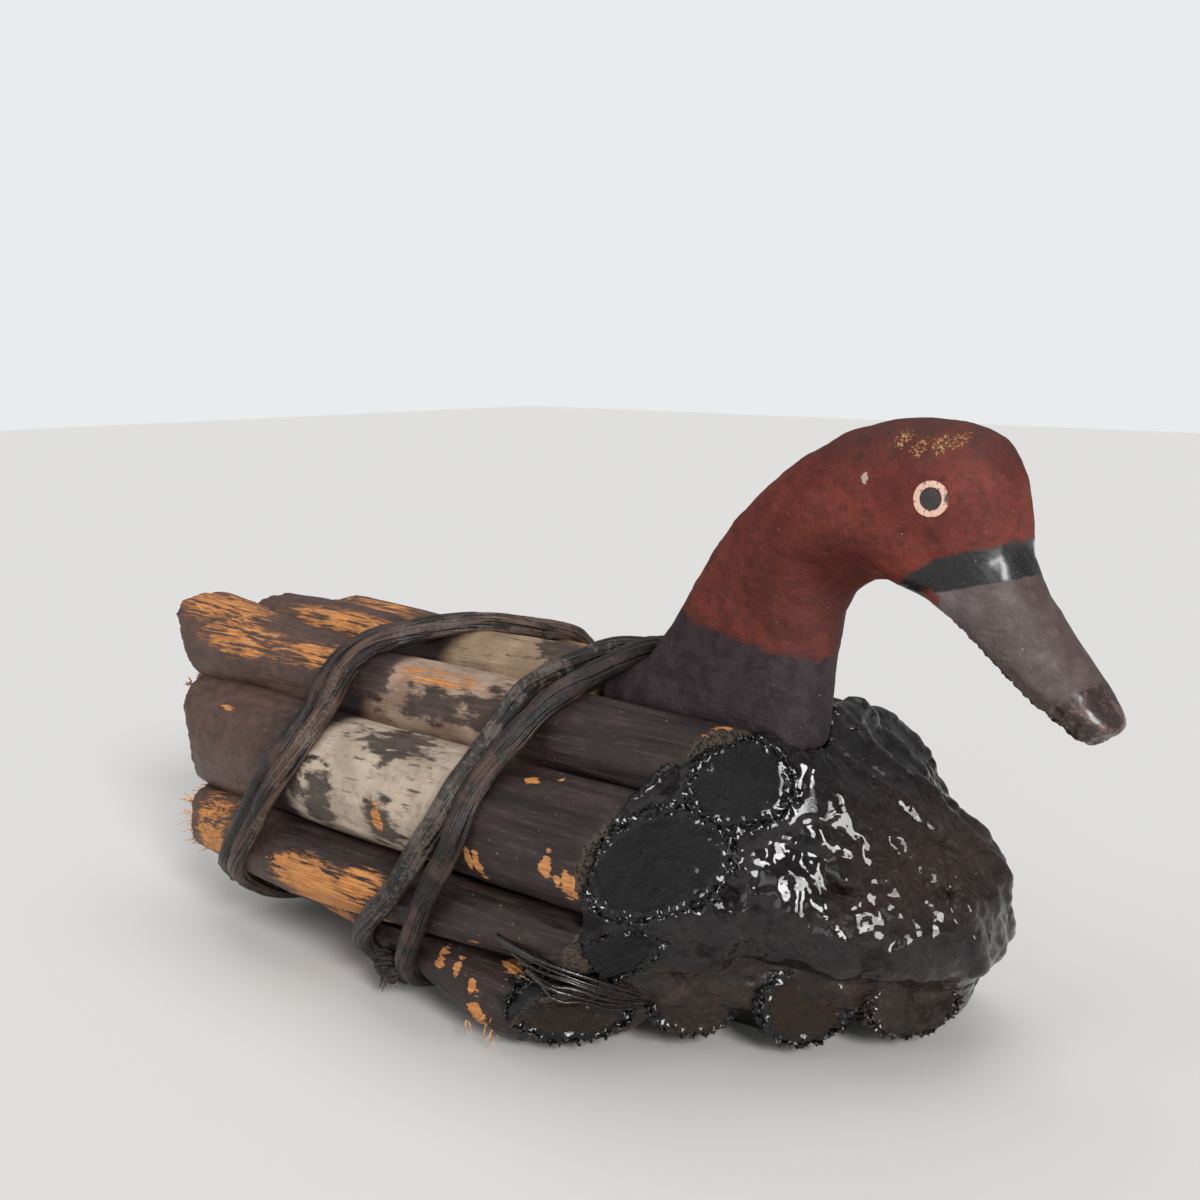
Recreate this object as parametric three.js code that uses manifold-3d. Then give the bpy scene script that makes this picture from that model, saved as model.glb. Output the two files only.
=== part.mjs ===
// Floating duck decoy: a bundle of pithy stems lashed with two twisted withies, a carved
// wooden head whose foot lies on the bundle, and a coat of tar over the sawn breast.
// Millimetres, +Z up, +X the way the duck faces, +Y its left side. Shapes are laid out from
// a point on the ground under the middle of the bundle, and the finished decoy is then moved
// so that the origin is where its lowest stem rests.
import * as THREE from 'three';
import { mergeVertices } from 'three/addons/utils/BufferGeometryUtils.js';
import Module from 'manifold-3d';

const wasm = await Module();
wasm.setup();

// ---------------------------------------------------------------- driving dimensions
const GAP = 0.35;             // clear space left between neighbouring pieces
const SQUARE_FROM = 98;       // how far behind the middle the stems begin to turn square
const SQUARE_TO = 122;        // and where they have done so
const STEM_SIDES = 20;        // facets round a stem
const STEM_RINGS = 12;        // rings along a stem
const STRAND_R = 3.2;         // radius of one withy strand
const TAR_THICK = 5.5;        // tar at the middle of the breast
const TAR_EDGE = 1.6;         // tar over the outer cut ends
const KEEL_REST_X = 80;       // where the lowest stem rests, ahead of the bundle's middle
const PEG = { x: 97, r: 4.5, low: 54, high: 102 };   // hidden dowel under the neck

// The stems: centre y, centre z, half width and half height at stations along x.
// `rear` shifts the tail cut, `front` limits a stem that stops short of the breast.
const STEMS = {
  stem_top_right: { rear: 0, paint: 0x37302f, at: [
    [-160, -21, 94.5, 13.5, 15], [-100, -24, 90.5, 14.5, 13.8], [-40, -26, 88, 14.5, 13.5],
    [40, -28, 86.5, 15.5, 13.5], [125, -27, 84.5, 15.5, 13.5]] },
  stem_top_left: { rear: 20, paint: 0x332d2c, at: [
    [-160, 24, 91, 13.5, 13], [-100, 26, 90, 14.5, 13.5], [-40, 28.5, 88, 15, 14],
    [40, 29.5, 86.5, 15, 14], [135, 28, 83, 14.5, 13]] },
  stem_top_middle: { rear: 12, front: 43, paint: 0x3a3432, at: [
    [-160, 1, 95.5, 12, 10.5], [-100, 1, 96, 12.5, 11], [0, 1, 95.5, 12.5, 11.5],
    [60, 1, 94.5, 12.5, 11.5]] },
  stem_side_right: { rear: 0, paint: 0x35302f, at: [
    [-150, -28, 64, 14, 18.5], [-100, -37.5, 64, 17, 18.5], [-40, -45, 64, 20, 18.5],
    [40, -47.5, 63, 20.5, 18.5], [125, -46.5, 62, 20.5, 18.5]] },
  stem_side_left: { rear: 5, paint: 0x332e2d, at: [
    [-150, 30, 64, 14, 18.5], [-100, 39, 64, 17, 18.5], [-40, 46, 63.5, 20, 18.5],
    [40, 48, 62.5, 20.5, 18.5], [175, 44, 60, 20, 18]] },
  stem_filler_right: { rear: 0, paint: 0x8a4f24, at: [
    [-130, -40, 35, 11, 10.5], [-50, -52, 35, 13, 13.5], [0, -56, 36, 11.5, 12],
    [50, -57, 37, 10, 9.5], [110, -54, 36.5, 9, 9]] },
  stem_filler_left: { rear: 3, paint: 0x4a352a, at: [
    [-130, 41, 33, 11.5, 13.5], [-50, 52, 34.5, 13, 13], [0, 57, 36, 11, 11],
    [50, 58.5, 36, 10, 9.5], [170, 54, 36, 9.5, 9]] },
  stem_low_right: { rear: 2, paint: 0x3b2b25, at: [
    [-130, -25, 24, 13, 12], [-50, -34, 24, 16, 12], [0, -42, 21.5, 17.5, 12.3],
    [45, -49, 13.5, 18, 12.8], [100, -49, 12.5, 17.5, 13]] },
  stem_low_left: { rear: 4, paint: 0x3b2c26, at: [
    [-130, 28, 24, 12, 12], [-50, 38, 24, 14.5, 12], [0, 48, 21, 15.5, 12.3],
    [45, 54, 13.5, 15.5, 13], [165, 53.5, 13, 15, 12.5]] },
  stem_low_middle_right: { rear: 1, paint: 0x3d2c25, at: [
    [-130, -9, 23.5, 8, 16.5], [-50, -11, 25.5, 9, 17.5], [0, -16, 26, 9.5, 18],
    [60, -20.5, 22.5, 10.5, 18], [120, -20.5, 23, 10.5, 17]] },
  stem_low_middle: { rear: 3, paint: 0x3a2b26, at: [
    [-130, 6, 23, 9, 17], [-50, 7, 25, 10.5, 17.5], [0, 5, 24.5, 12, 18],
    [60, 2, 18.5, 12.5, 19], [165, 2, 18.5, 12.5, 19]] },
  stem_low_middle_left: { rear: 2, paint: 0x3a2b26, at: [
    [-130, 21, 26, 8, 16], [-50, 25, 27, 9.5, 17], [0, 27.5, 25, 11.5, 18],
    [60, 26.5, 18.5, 12.3, 19], [165, 26.5, 18.5, 12.3, 19]] },
  stem_core: { rear: 2, paint: 0x8c7a58, at: [
    [-150, 0, 68, 22, 22], [-40, 0, 64, 25, 23], [60, 0.5, 60, 26.5, 22],
    [165, 2, 58, 26, 20]] },
};

// The rear of the head's foot, as the bindings meet it.
const FOOT = { back: 44, at: [[44, 0, 96, 16, 11.5], [61, 0, 97, 18, 12.8]] };

// The breast: how far forward the cut ends reach, on a grid of y (across) and z (down).
const BREAST_Y = [-72, -48, -25, 0, 25, 48, 72];
const BREAST = [
  [104, [93, 100, 106, 107, 104, 98, 86]],
  [86, [92, 101, 111, 116, 114, 104, 92]],
  [68, [87, 97, 111, 131, 136, 126, 108]],
  [48, [82, 94, 111, 143, 156, 149, 131]],
  [28, [73, 85, 103, 139, 157, 151, 134]],
  [8, [57, 67, 88, 116, 138, 143, 130]],
  [-12, [46, 56, 76, 102, 124, 132, 118]],
];
// The tail: where the stems are sawn off, as z and x.
const TAIL = [[-12, -102], [8, -103], [24, -111], [42, -111], [50, -112], [66, -114],
  [78, -119], [84, -134], [98, -140], [108, -144], [118, -148]];

// The withies: x at points round the bundle, by the angle of the outward direction from
// the right side (0), over the top (90), the left side (180) and the underside (270).
const WITHIES = {
  front_withy_a: { r: STRAND_R, x: [[0, 37], [25, 41], [50, 40], [90, 41], [140, 45],
    [180, 38], [210, 24], [250, 4], [285, -16], [300, -14], [315, -8], [330, 0], [340, 6],
    [352.5, 12]] },
  front_withy_b: { r: STRAND_R, x: [[0, 44.5], [25, 48.5], [50, 50], [75, 54], [95, 57],
    [130, 55], [180, 46], [210, 34], [250, 18], [285, 2], [300, 6], [315, 11], [330, 17],
    [340, 22], [352.5, 27]] },
  rear_withy_a: { r: STRAND_R, x: [[0, -37], [25, -34], [50, -39], [90, -21], [130, -9],
    [180, -16], [210, -30], [250, -58], [285, -86], [300, -88], [310, -84], [325, -75],
    [340, -66], [352.5, -60]] },
  rear_withy_b: { r: STRAND_R - 0.2, x: [[0, -44.5], [25, -41.5], [50, -46.5], [90, -28.5],
    [130, -16.5], [180, -23.5], [210, -38], [250, -66], [285, -94], [300, -96], [310, -92],
    [325, -83], [340, -74], [352.5, -67.5]] },
};

// The wound ends of the withies: a short path, a radius and the number of half turns.
const TWISTS = {
  front_withy_twist: { r: 5, turns: 3, at: [[-5, -58, 12.5], [1.5, -60, 11], [8, -61, 9.5]] },
  rear_withy_twist: { r: 4, turns: 4, at: [[-82, -51.5, 18], [-93, -49, 18.5],
    [-105, -45, 20]] },
};

// The head, neck and foot in side view: a back point, a front point, a half width, from
// the rear of the foot, up the neck, over the crown and down to the tip of the bill.
const HEAD = [
  [45.5, 101, 45.5, 92, 9], [50, 106, 53, 84, 16], [56, 107.5, 68, 80, 19],
  [60.5, 110, 92, 79, 19], [65.5, 116.5, 111, 81, 17.5], [71, 124.2, 120, 90, 16],
  [77.2, 134, 121.5, 104, 14.8], [84, 144.3, 122.5, 116, 14.5], [93, 154.9, 125, 127, 15.2],
  [103.5, 164, 130, 135.5, 16.8], [116.5, 173.6, 137, 140, 18.2],
  [131.5, 181.3, 144, 140.5, 19], [147, 184.5, 149, 138, 19.2],
  [161.5, 184.4, 153, 136.6, 18.8], [173, 180.5, 155, 136, 17.6],
  [179, 171.5, 155.5, 136.2, 15.8], [181.2, 161, 156, 136.2, 14],
  [181.8, 151.5, 157.3, 135.6, 12.8], [186, 142, 165, 130.3, 12.2],
  [194, 131.4, 175.5, 121.3, 12], [202.3, 121.3, 185.8, 113, 11.5],
  [208, 114, 195.5, 107.2, 10.2], [210.5, 109, 202, 103.6, 7.5],
];

// ---------------------------------------------------------------- shape helpers
// A smooth curve through rows of numbers, read at a given first value.
function table(rows) {
  return (x) => {
    let i = 0;
    while (i < rows.length - 2 && x > rows[i + 1][0]) i++;
    const a = rows[i];
    const b = rows[i + 1];
    const t = Math.min(1, Math.max(0, (x - a[0]) / (b[0] - a[0])));
    const s = t * t * (3 - 2 * t) * 0.5 + t * 0.5;
    return a.slice(1).map((v, k) => v + (b[k + 1] - v) * s);
  };
}

// Moves every vertex of a geometry by a function of its own coordinates.
function reshape(geometry, move) {
  const p = geometry.attributes.position;
  const v = new THREE.Vector3();
  for (let i = 0; i < p.count; i++) {
    v.fromBufferAttribute(p, i);
    move(v);
    p.setXYZ(i, v.x, v.y, v.z);
  }
  return geometry;
}

function toSolid(geometry) {
  const g = geometry.clone();
  g.deleteAttribute('normal');
  g.deleteAttribute('uv');
  const m = mergeVertices(g, 1e-4);
  return new wasm.Manifold(new wasm.Mesh({
    numProp: 3,
    vertProperties: new Float32Array(m.attributes.position.array),
    triVerts: new Uint32Array(m.index.array),
  }));
}

function toGeometry(solid) {
  const mesh = solid.getMesh();
  const g = new THREE.BufferGeometry();
  g.setAttribute('position', new THREE.BufferAttribute(new Float32Array(mesh.vertProperties), 3));
  g.setIndex(new THREE.BufferAttribute(new Uint32Array(mesh.triVerts), 1));
  g.computeVertexNormals();
  return g;
}

// The biggest body of a cut, so that no loose sliver stays behind.
function biggest(solid) {
  return solid.decompose().sort((a, b) => b.volume() - a.volume())[0];
}

// A stem: a cylinder whose rings follow the station table, grown by `grow` all round.
// A stem's section is oval along the bundle and turns squarish at the tail, where the ends
// are pressed against each other and sawn off together.
function stemSolid(stem, grow = 0) {
  const read = table(stem.at);
  const x0 = stem.at[0][0];
  const x1 = stem.front ?? stem.at[stem.at.length - 1][0];
  const g = new THREE.CylinderGeometry(1, 1, 1, STEM_SIDES, STEM_RINGS);
  return toSolid(reshape(g, (v) => {
    const x = x0 + (v.y + 0.5) * (x1 - x0) + (v.y > 0 ? grow : -grow);
    const [cy, cz, hw, hh] = read(x);
    const p = 2 + 2.2 * THREE.MathUtils.smoothstep(-x, SQUARE_FROM, SQUARE_TO);
    const r = Math.hypot(v.x, v.z);
    const k = r > 0 ? r / (Math.abs(v.x) ** p + Math.abs(v.z) ** p) ** (1 / p) : 0;
    v.set(x, cy + v.z * k * (hw + grow), cz + v.x * k * (hh + grow));
  }));
}

// A long block whose front face is the breast surface and whose rear face is the tail cut.
const breastRows = BREAST.map(([z, xs]) => [z, ...xs]).reverse();
const breastAt = table(breastRows);
const tailAt = table(TAIL);
function breastX(y, z) {
  const xs = breastAt(z);
  return table(BREAST_Y.map((yy, i) => [yy, xs[i]]))(y)[0];
}
function bodyBlock(frontShift, rearShift) {
  const g = new THREE.BoxGeometry(1, 1, 1, 1, 24, 24);
  return toSolid(reshape(g, (v) => {
    const y = v.y * 180;
    const z = -30 + (v.z + 0.5) * 155;
    const x = v.x > 0 ? breastX(y, z) + frontShift(y, z) : tailAt(z)[0] + rearShift;
    v.set(x, y, z);
  }));
}

// A withy strand: a torus laid over the tight outline of the bundle, following its slant.
function strandSolid(spec, keep, grow = 0) {
  const rows = [...spec.x, [360, spec.x[0][1]]];
  const read = table(rows);
  const hull = (deg) => {
    const a = THREE.MathUtils.degToRad(deg);
    const n = [-Math.cos(a), Math.sin(a)];
    const x = read(deg)[0];
    let best = -1e9;
    let at = null;
    for (const name of [...keep, 'foot']) {
      const s = name === 'foot' ? FOOT : STEMS[name];
      if ((s.front && x > s.front) || (s.back && x < s.back)) continue;
      const [cy, cz, hw, hh] = table(s.at)(x);
      const w = Math.hypot(hw * n[0], hh * n[1]);
      const reach = cy * n[0] + cz * n[1] + w;
      if (reach > best) {
        best = reach;
        at = [cy + (hw * hw * n[0]) / w, cz + (hh * hh * n[1]) / w];
      }
    }
    const r = spec.r + GAP;
    return new THREE.Vector3(x, at[0] + r * n[0], Math.max(spec.r, at[1] + r * n[1]));
  };
  const steps = 48;
  const points = [];
  for (let i = 0; i < steps; i++) points.push(hull((360 * i) / steps));
  const curve = new THREE.CatmullRomCurve3(points, true, 'centripetal');
  const g = new THREE.TorusGeometry(10, 1, 8, 64);
  const axis = new THREE.Vector3(1, 0, 0);
  return toSolid(reshape(g, (v) => {
    const turn = (Math.atan2(v.y, v.x) / (2 * Math.PI) + 1) % 1;
    const out = Math.hypot(v.x, v.y) - 10;
    const p = curve.getPointAt(turn);
    const t = curve.getTangentAt(turn);
    const n = t.clone().cross(axis).normalize();
    const b = n.clone().cross(t).normalize();
    const across = v.z;
    const r = spec.r + grow;
    v.copy(p).addScaledVector(n, out * r).addScaledVector(b, across * r);
  }));
}

// A run of oval sections between back and front points in the middle plane.
function headSolid(grow = 0) {
  const rings = HEAD.length - 1;
  const g = new THREE.CylinderGeometry(1, 1, 1, 20, rings);
  return toSolid(reshape(g, (v) => {
    const i = Math.round((v.y + 0.5) * rings);
    const [bx, bz, fx, fz, w] = HEAD[i];
    const r = Math.hypot(v.x, v.z);
    const a = Math.atan2(v.z, v.x);
    const square = (c) => Math.sign(c) * Math.abs(c) ** 0.82;
    const u = square(Math.cos(a)) * r;
    const s = square(Math.sin(a)) * r;
    const half = Math.hypot(bx - fx, bz - fz) / 2;
    const k = (half + grow) / half;
    v.set((bx + fx) / 2 + ((bx - fx) / 2) * k * u, s * (w + grow),
      (bz + fz) / 2 + ((bz - fz) / 2) * k * u);
  }));
}

function rod(r, from, to, sides = 16) {
  const a = new THREE.Vector3(...from);
  const d = new THREE.Vector3(...to).sub(a);
  const g = new THREE.CylinderGeometry(r, r, d.length(), sides);
  const q = new THREE.Quaternion().setFromUnitVectors(new THREE.Vector3(0, 1, 0),
    d.clone().normalize());
  g.applyQuaternion(q);
  g.translate(...a.addScaledVector(d, 0.5).toArray());
  return toSolid(g);
}

// A twisted stub where the ends of a withy are wound round each other.
function twistSolid(points, r, turns) {
  const curve = new THREE.CatmullRomCurve3(points.map((p) => new THREE.Vector3(...p)));
  const g = new THREE.CylinderGeometry(1, 1, 1, 14, 16);
  return toSolid(reshape(g, (v) => {
    const t = v.y + 0.5;
    const p = curve.getPointAt(t);
    const d = curve.getTangentAt(t);
    const n = new THREE.Vector3(0, 0, 1).cross(d).normalize();
    const b = n.clone().cross(d);
    const a = Math.atan2(v.z, v.x);
    const lobe = r * (0.82 + 0.18 * Math.cos(2 * (a - turns * Math.PI * t)));
    const k = Math.hypot(v.x, v.z) * lobe * (0.75 + 0.5 * Math.sin(Math.PI * t));
    v.copy(p).addScaledVector(n, k * Math.cos(a)).addScaledVector(b, k * Math.sin(a));
  }));
}

// ---------------------------------------------------------------- the pieces
const solids = {};
const pegGap = rod(PEG.r + GAP, [PEG.x, 0, PEG.low - GAP], [PEG.x, 0, PEG.high + GAP]);

// Stems in the order they were laid: each later one is squashed against the earlier ones.
const laid = [];
const aboveGround = toSolid(new THREE.BoxGeometry(600, 300, 200).translate(0, 0, 100));
for (const [name, stem] of Object.entries(STEMS)) {
  let s = stemSolid(stem).intersect(bodyBlock(() => 0, stem.rear)).intersect(aboveGround);
  for (const other of laid) s = s.subtract(stemSolid(STEMS[other], GAP));
  if (name === 'stem_core') s = s.subtract(pegGap);
  solids[name] = s;
  laid.push(name);
}

// The head sits in the valley between the top stems, on the core.
let head = headSolid();
for (const name of ['stem_top_right', 'stem_top_left', 'stem_top_middle', 'stem_core',
  'stem_side_right', 'stem_side_left']) {
  head = head.subtract(stemSolid(STEMS[name], GAP));
}
solids.head_and_neck = head.subtract(pegGap);
solids.neck_peg = rod(PEG.r, [PEG.x, 0, PEG.low], [PEG.x, 0, PEG.high]);

// Tar: a skin over the breast, thick in the middle and thin over the outer cut ends.
const tarThickness = (y, z) => {
  const side = Math.min(1, Math.max(0, (y + 42) / 45));
  const low = Math.min(1, Math.max(0, (z - 10) / 25));
  const lump = 0.8 * Math.sin(y * 0.21) * Math.sin(z * 0.19 + 1);
  return TAR_EDGE + (TAR_THICK - TAR_EDGE) * side * low + lump * side;
};
const outline = reshape(new THREE.CylinderGeometry(1, 1, 1, 40, 1), (v) => {
  const a = Math.atan2(v.z, v.x);
  const r = Math.hypot(v.x, v.z);
  const k = r / (Math.abs(Math.cos(a)) ** 2.6 + Math.abs(Math.sin(a)) ** 2.6) ** (1 / 2.6);
  const reach = Math.sin(a) > 0 ? 45 : 39;
  v.set(45 + (v.y + 0.5) * 160, 2 + Math.cos(a) * 67 * k, 58 - Math.sin(a) * reach * k);
});
let tar = bodyBlock(tarThickness, 0).subtract(bodyBlock(() => GAP, -40));
tar = tar.intersect(toSolid(outline)).subtract(headSolid(GAP));
solids.breast_tar = tar;

// The bindings, pressed against the stems and the foot of the neck.
const strands = Object.keys(STEMS).filter((n) => n !== 'stem_core');
const placed = [];
for (const [name, spec] of Object.entries(WITHIES)) {
  let s = strandSolid(spec, strands);
  for (const stem of strands) s = s.subtract(stemSolid(STEMS[stem], GAP));
  s = s.subtract(headSolid(GAP)).intersect(aboveGround);
  for (const other of placed) s = s.subtract(strandSolid(WITHIES[other], strands, GAP));
  solids[name] = s;
  placed.push(name);
}

// The ends of each withy, wound round each other under the right side.
const twistFits = (solid) => {
  let s = solid.intersect(aboveGround);
  for (const stem of strands) s = s.subtract(stemSolid(STEMS[stem], GAP));
  for (const other of placed) s = s.subtract(strandSolid(WITHIES[other], strands, GAP));
  return s;
};
for (const [name, twist] of Object.entries(TWISTS)) {
  solids[name] = twistFits(twistSolid(twist.at, twist.r, twist.turns));
}

// ---------------------------------------------------------------- the scene
const LOOKS = {
  head_and_neck: [0x6b2a22, 0.62], neck_peg: [0xa98a5c, 0.8], breast_tar: [0x0e0d0d, 0.22],
  front_withy_a: [0x33261f, 0.75], front_withy_b: [0x2b211c, 0.75],
  rear_withy_a: [0x33241d, 0.75], rear_withy_b: [0x3b251b, 0.75],
  front_withy_twist: [0x241b17, 0.8], rear_withy_twist: [0x241b17, 0.8],
};
const decoy = new THREE.Group();
decoy.position.x = -KEEL_REST_X;
for (const [name, solid] of Object.entries(solids)) {
  const [color, roughness] = LOOKS[name] ?? [STEMS[name].paint, 0.72];
  const mesh = new THREE.Mesh(toGeometry(biggest(solid)),
    new THREE.MeshStandardMaterial({ color, roughness, metalness: 0 }));
  mesh.name = name;
  decoy.add(mesh);
}
const group = new THREE.Group();
group.add(decoy);
export default group;
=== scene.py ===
# %% [markdown]
# # A floating duck decoy, from frame to finish
# A hunter's working decoy: pithy stems lashed into a boat-shaped bundle with two split
# withies, the sawn breast sealed with tar, and a carved wooden head whose foot is lashed
# down on top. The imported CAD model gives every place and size; here each piece gets its
# real surface, and each paint, bark and tar gets its own material.

# %% Open the frame
import math
import random

import bpy
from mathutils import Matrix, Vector, geometry
from mathutils.bvhtree import BVHTree


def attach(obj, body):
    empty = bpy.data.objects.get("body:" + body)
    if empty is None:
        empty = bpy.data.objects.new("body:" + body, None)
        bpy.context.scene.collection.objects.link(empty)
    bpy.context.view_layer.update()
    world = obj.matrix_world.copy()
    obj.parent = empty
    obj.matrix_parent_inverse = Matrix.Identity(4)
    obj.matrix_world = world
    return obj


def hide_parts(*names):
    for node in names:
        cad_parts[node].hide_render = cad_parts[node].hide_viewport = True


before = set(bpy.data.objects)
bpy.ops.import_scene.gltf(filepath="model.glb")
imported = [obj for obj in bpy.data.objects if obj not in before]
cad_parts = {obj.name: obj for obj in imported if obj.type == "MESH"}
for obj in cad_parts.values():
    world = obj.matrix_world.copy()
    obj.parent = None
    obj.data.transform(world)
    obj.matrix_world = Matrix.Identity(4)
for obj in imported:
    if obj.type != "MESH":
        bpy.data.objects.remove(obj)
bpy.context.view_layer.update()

# %% [markdown]
# The decoy was laid out in millimetres from the ground under the middle of the bundle, and
# the frame's own origin is 80 mm further forward, where the lowest stem rests. One small
# helper turns a place in the maker's measure into the frame's metres, so that every number
# below can be read as a distance from the middle of the bundle.

# %% The maker's measure
KEEL_REST = 80.0


def at(x, y, z):
    return Vector((x - KEEL_REST, y, z)) / 1000.0


def mm(v):
    return (v.x * 1000.0 + KEEL_REST, v.y * 1000.0, v.z * 1000.0)


print("the frame's origin in the maker's measure:", mm(Vector((0, 0, 0))))

# %% [markdown]
# ## The camera, the floor and the light
# The decoy is seen from its right front, a little above, with a moderately long lens.

# %% Camera
bpy.ops.object.camera_add(
    location=at(388.7, -392.0, 207.2),
    rotation=(math.radians(80.975), 0.0, math.radians(42.0)),
)
camera = bpy.context.object
camera.name = "studio_camera"
camera.data.sensor_width = 36.0
camera.data.lens = 51.0
camera.data.clip_start = 0.01
bpy.context.scene.camera = camera
print("camera stands", round(camera.location.length, 3), "m from the origin")

# %% [markdown]
# A pale matte floor, far wider than the decoy. It has no gloss, so that a low light leaves
# no glare on it from any side.

# %% Floor and backdrop
bpy.ops.mesh.primitive_plane_add(size=6.0, location=(0, 0, 0))
floor = bpy.context.object
floor.name = "studio_floor"

paper = bpy.data.materials.new("studio_paper")
paper.use_nodes = True
paper_shader = paper.node_tree.nodes["Principled BSDF"]
paper_shader.inputs["Base Color"].default_value = (0.80, 0.79, 0.77, 1)
paper_shader.inputs["Roughness"].default_value = 0.9
paper_shader.inputs["Specular IOR Level"].default_value = 0.0
floor.data.materials.append(paper)
print(floor.name, "is", floor.dimensions.x, "m wide")

# %% [markdown]
# The light is soft: a window at the right front, weaker ones from the front, the left and
# above, and an even sky. Area lamps would do too, but a sun with a wide angle gives the
# same softness all round, whatever its distance. Two more lights show in reflections only.
# They stand for the bright room that fresh tar mirrors, and don't wash out the bark.

# %% Lights
bpy.context.scene.view_settings.view_transform = "Standard"
sky = bpy.data.worlds.new("studio_sky")
bpy.context.scene.world = sky
sky.use_nodes = True
sky_nodes = sky.node_tree.nodes
lit_by = sky_nodes["Background"]
lit_by.inputs["Color"].default_value = (0.95, 0.97, 1.0, 1)
lit_by.inputs["Strength"].default_value = 0.24
seen = sky_nodes.new("ShaderNodeBackground")
seen.inputs["Color"].default_value = (0.82, 0.83, 0.84, 1)
ray = sky_nodes.new("ShaderNodeLightPath")
which = sky_nodes.new("ShaderNodeMixShader")
sky.node_tree.links.new(ray.outputs["Is Camera Ray"], which.inputs[0])
sky.node_tree.links.new(lit_by.outputs[0], which.inputs[1])
sky.node_tree.links.new(seen.outputs[0], which.inputs[2])
sky.node_tree.links.new(which.outputs[0], sky_nodes["World Output"].inputs["Surface"])


def soft_light(name, place, strength, softness, mirrored_only=False):
    bpy.ops.object.light_add(type="SUN", location=place)
    light = bpy.context.object
    light.name = name
    light.data.energy = strength
    light.data.angle = math.radians(softness)
    light.rotation_euler = (-Vector(place)).to_track_quat("-Z", "Y").to_euler()
    light.visible_diffuse = not mirrored_only


soft_light("key_window", (0.84, -0.46, 0.50), 2.2, 18.0)
soft_light("front_window", (0.40, -0.88, 0.22), 0.30, 24.0)
soft_light("low_window", (0.90, -0.44, 0.13), 3.2, 26.0, mirrored_only=True)
soft_light("side_board", (-0.22, -0.97, 0.14), 0.8, 40.0, mirrored_only=True)
soft_light("left_fill", (-0.7, -0.8, 0.7), 0.45, 60.0)
soft_light("top_window", (-0.1, 0.2, 0.9), 0.9, 50.0)

# %% [markdown]
# ## Ways of working
# Natural things are sculpted rather than drafted. Each stem, the head and the tar start as a
# merged copy of their CAD solid. The copy is remeshed into small even faces, smoothed, and
# then pushed in and out by soft procedural textures, as a sculptor builds a surface up with
# clay. The helpers below are those few steps.

# %% Selecting, copying and finishing
def leave_all():
    if bpy.context.object and bpy.context.object.mode != "OBJECT":
        bpy.ops.object.mode_set(mode="OBJECT")
    bpy.ops.object.select_all(action="DESELECT")


def take(piece):
    leave_all()
    piece.select_set(True)
    bpy.context.view_layer.objects.active = piece
    return piece


def apply_all(piece):
    take(piece)
    for modifier in list(piece.modifiers):
        bpy.ops.object.modifier_apply(modifier=modifier.name)
    bpy.ops.object.transform_apply(location=True, rotation=True, scale=True)


def close_up(gap_mm, outward=False):
    """Weld the active piece's doubled points, and turn its faces outward if asked."""
    bpy.ops.object.mode_set(mode="EDIT")
    bpy.ops.mesh.select_all(action="SELECT")
    bpy.ops.mesh.remove_doubles(threshold=gap_mm / 1000.0)
    if outward:
        bpy.ops.mesh.normals_make_consistent(inside=False)
    bpy.ops.object.mode_set(mode="OBJECT")


def merged_copy(node, name):
    piece = bpy.data.objects.new(name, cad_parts[node].data.copy())
    piece.data.name = name
    piece.data.materials.clear()
    bpy.context.scene.collection.objects.link(piece)
    take(piece)
    close_up(0.02)
    return piece


def even_faces(piece, size_mm, smooth=6):
    """Remesh into small even faces, which the texture pushes need, and soften the steps."""
    remesh = piece.modifiers.new("even faces", "REMESH")
    remesh.mode = "VOXEL"
    remesh.voxel_size = size_mm / 1000.0
    soften = piece.modifiers.new("soften", "SMOOTH")
    soften.factor = 0.5
    soften.iterations = smooth
    apply_all(piece)
    return piece


# %% [markdown]
# A Displace modifier reads its texture in the space of an empty. Stretching the empty along
# the stems stretches the texture too, which turns plain noise into the long ribs and
# furrows of bark. The empty is removed when the modifier has been applied.

# %% Pushing a surface with soft noise
BROAD = 90.0  # a texture so slow, in mm, that it moves a whole area one way


def push(piece, name, depth_mm, size_mm, stretch=1.0, shift=0.0, group=None, kind="CLOUDS",
         middle=0.5, fine=2):
    texture = bpy.data.textures.new(name, kind)
    texture.noise_scale = size_mm / 1000.0
    if kind == "CLOUDS":
        texture.noise_depth = fine
    leave_all()
    bpy.ops.object.empty_add(location=(shift, shift * 0.7, shift * 0.4))
    space = bpy.context.object
    space.scale = (stretch, 1.0, 1.0)
    bpy.context.view_layer.update()
    displace = piece.modifiers.new(name, "DISPLACE")
    displace.texture = texture
    displace.texture_coords = "OBJECT"
    displace.texture_coords_object = space
    displace.strength = depth_mm / 1000.0
    displace.mid_level = middle
    if group:
        displace.vertex_group = group
    take(piece)
    bpy.ops.object.modifier_apply(modifier=displace.name)
    bpy.data.objects.remove(space)
    bpy.data.textures.remove(texture)
    return piece


def weigh(piece, group, rule):
    """A vertex group whose weight at each vertex is rule(x, y, z) in the maker's measure."""
    made = piece.vertex_groups.new(name=group)
    for v in piece.data.vertices:
        weight = max(0.0, min(1.0, rule(*mm(v.co))))
        if weight > 0.002:
            made.add([v.index], weight, "REPLACE")
    return made


def mark(piece, name, rule):
    """A float attribute that a material can read, set like a weight."""
    made = piece.data.attributes.new(name, "FLOAT", "POINT")
    made.data.foreach_set("value", [max(0.0, min(1.0, rule(*mm(v.co))))
                                    for v in piece.data.vertices])


def step(low, high, value):
    t = max(0.0, min(1.0, (value - low) / (high - low)))
    return t * t * (3 - 2 * t)


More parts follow.
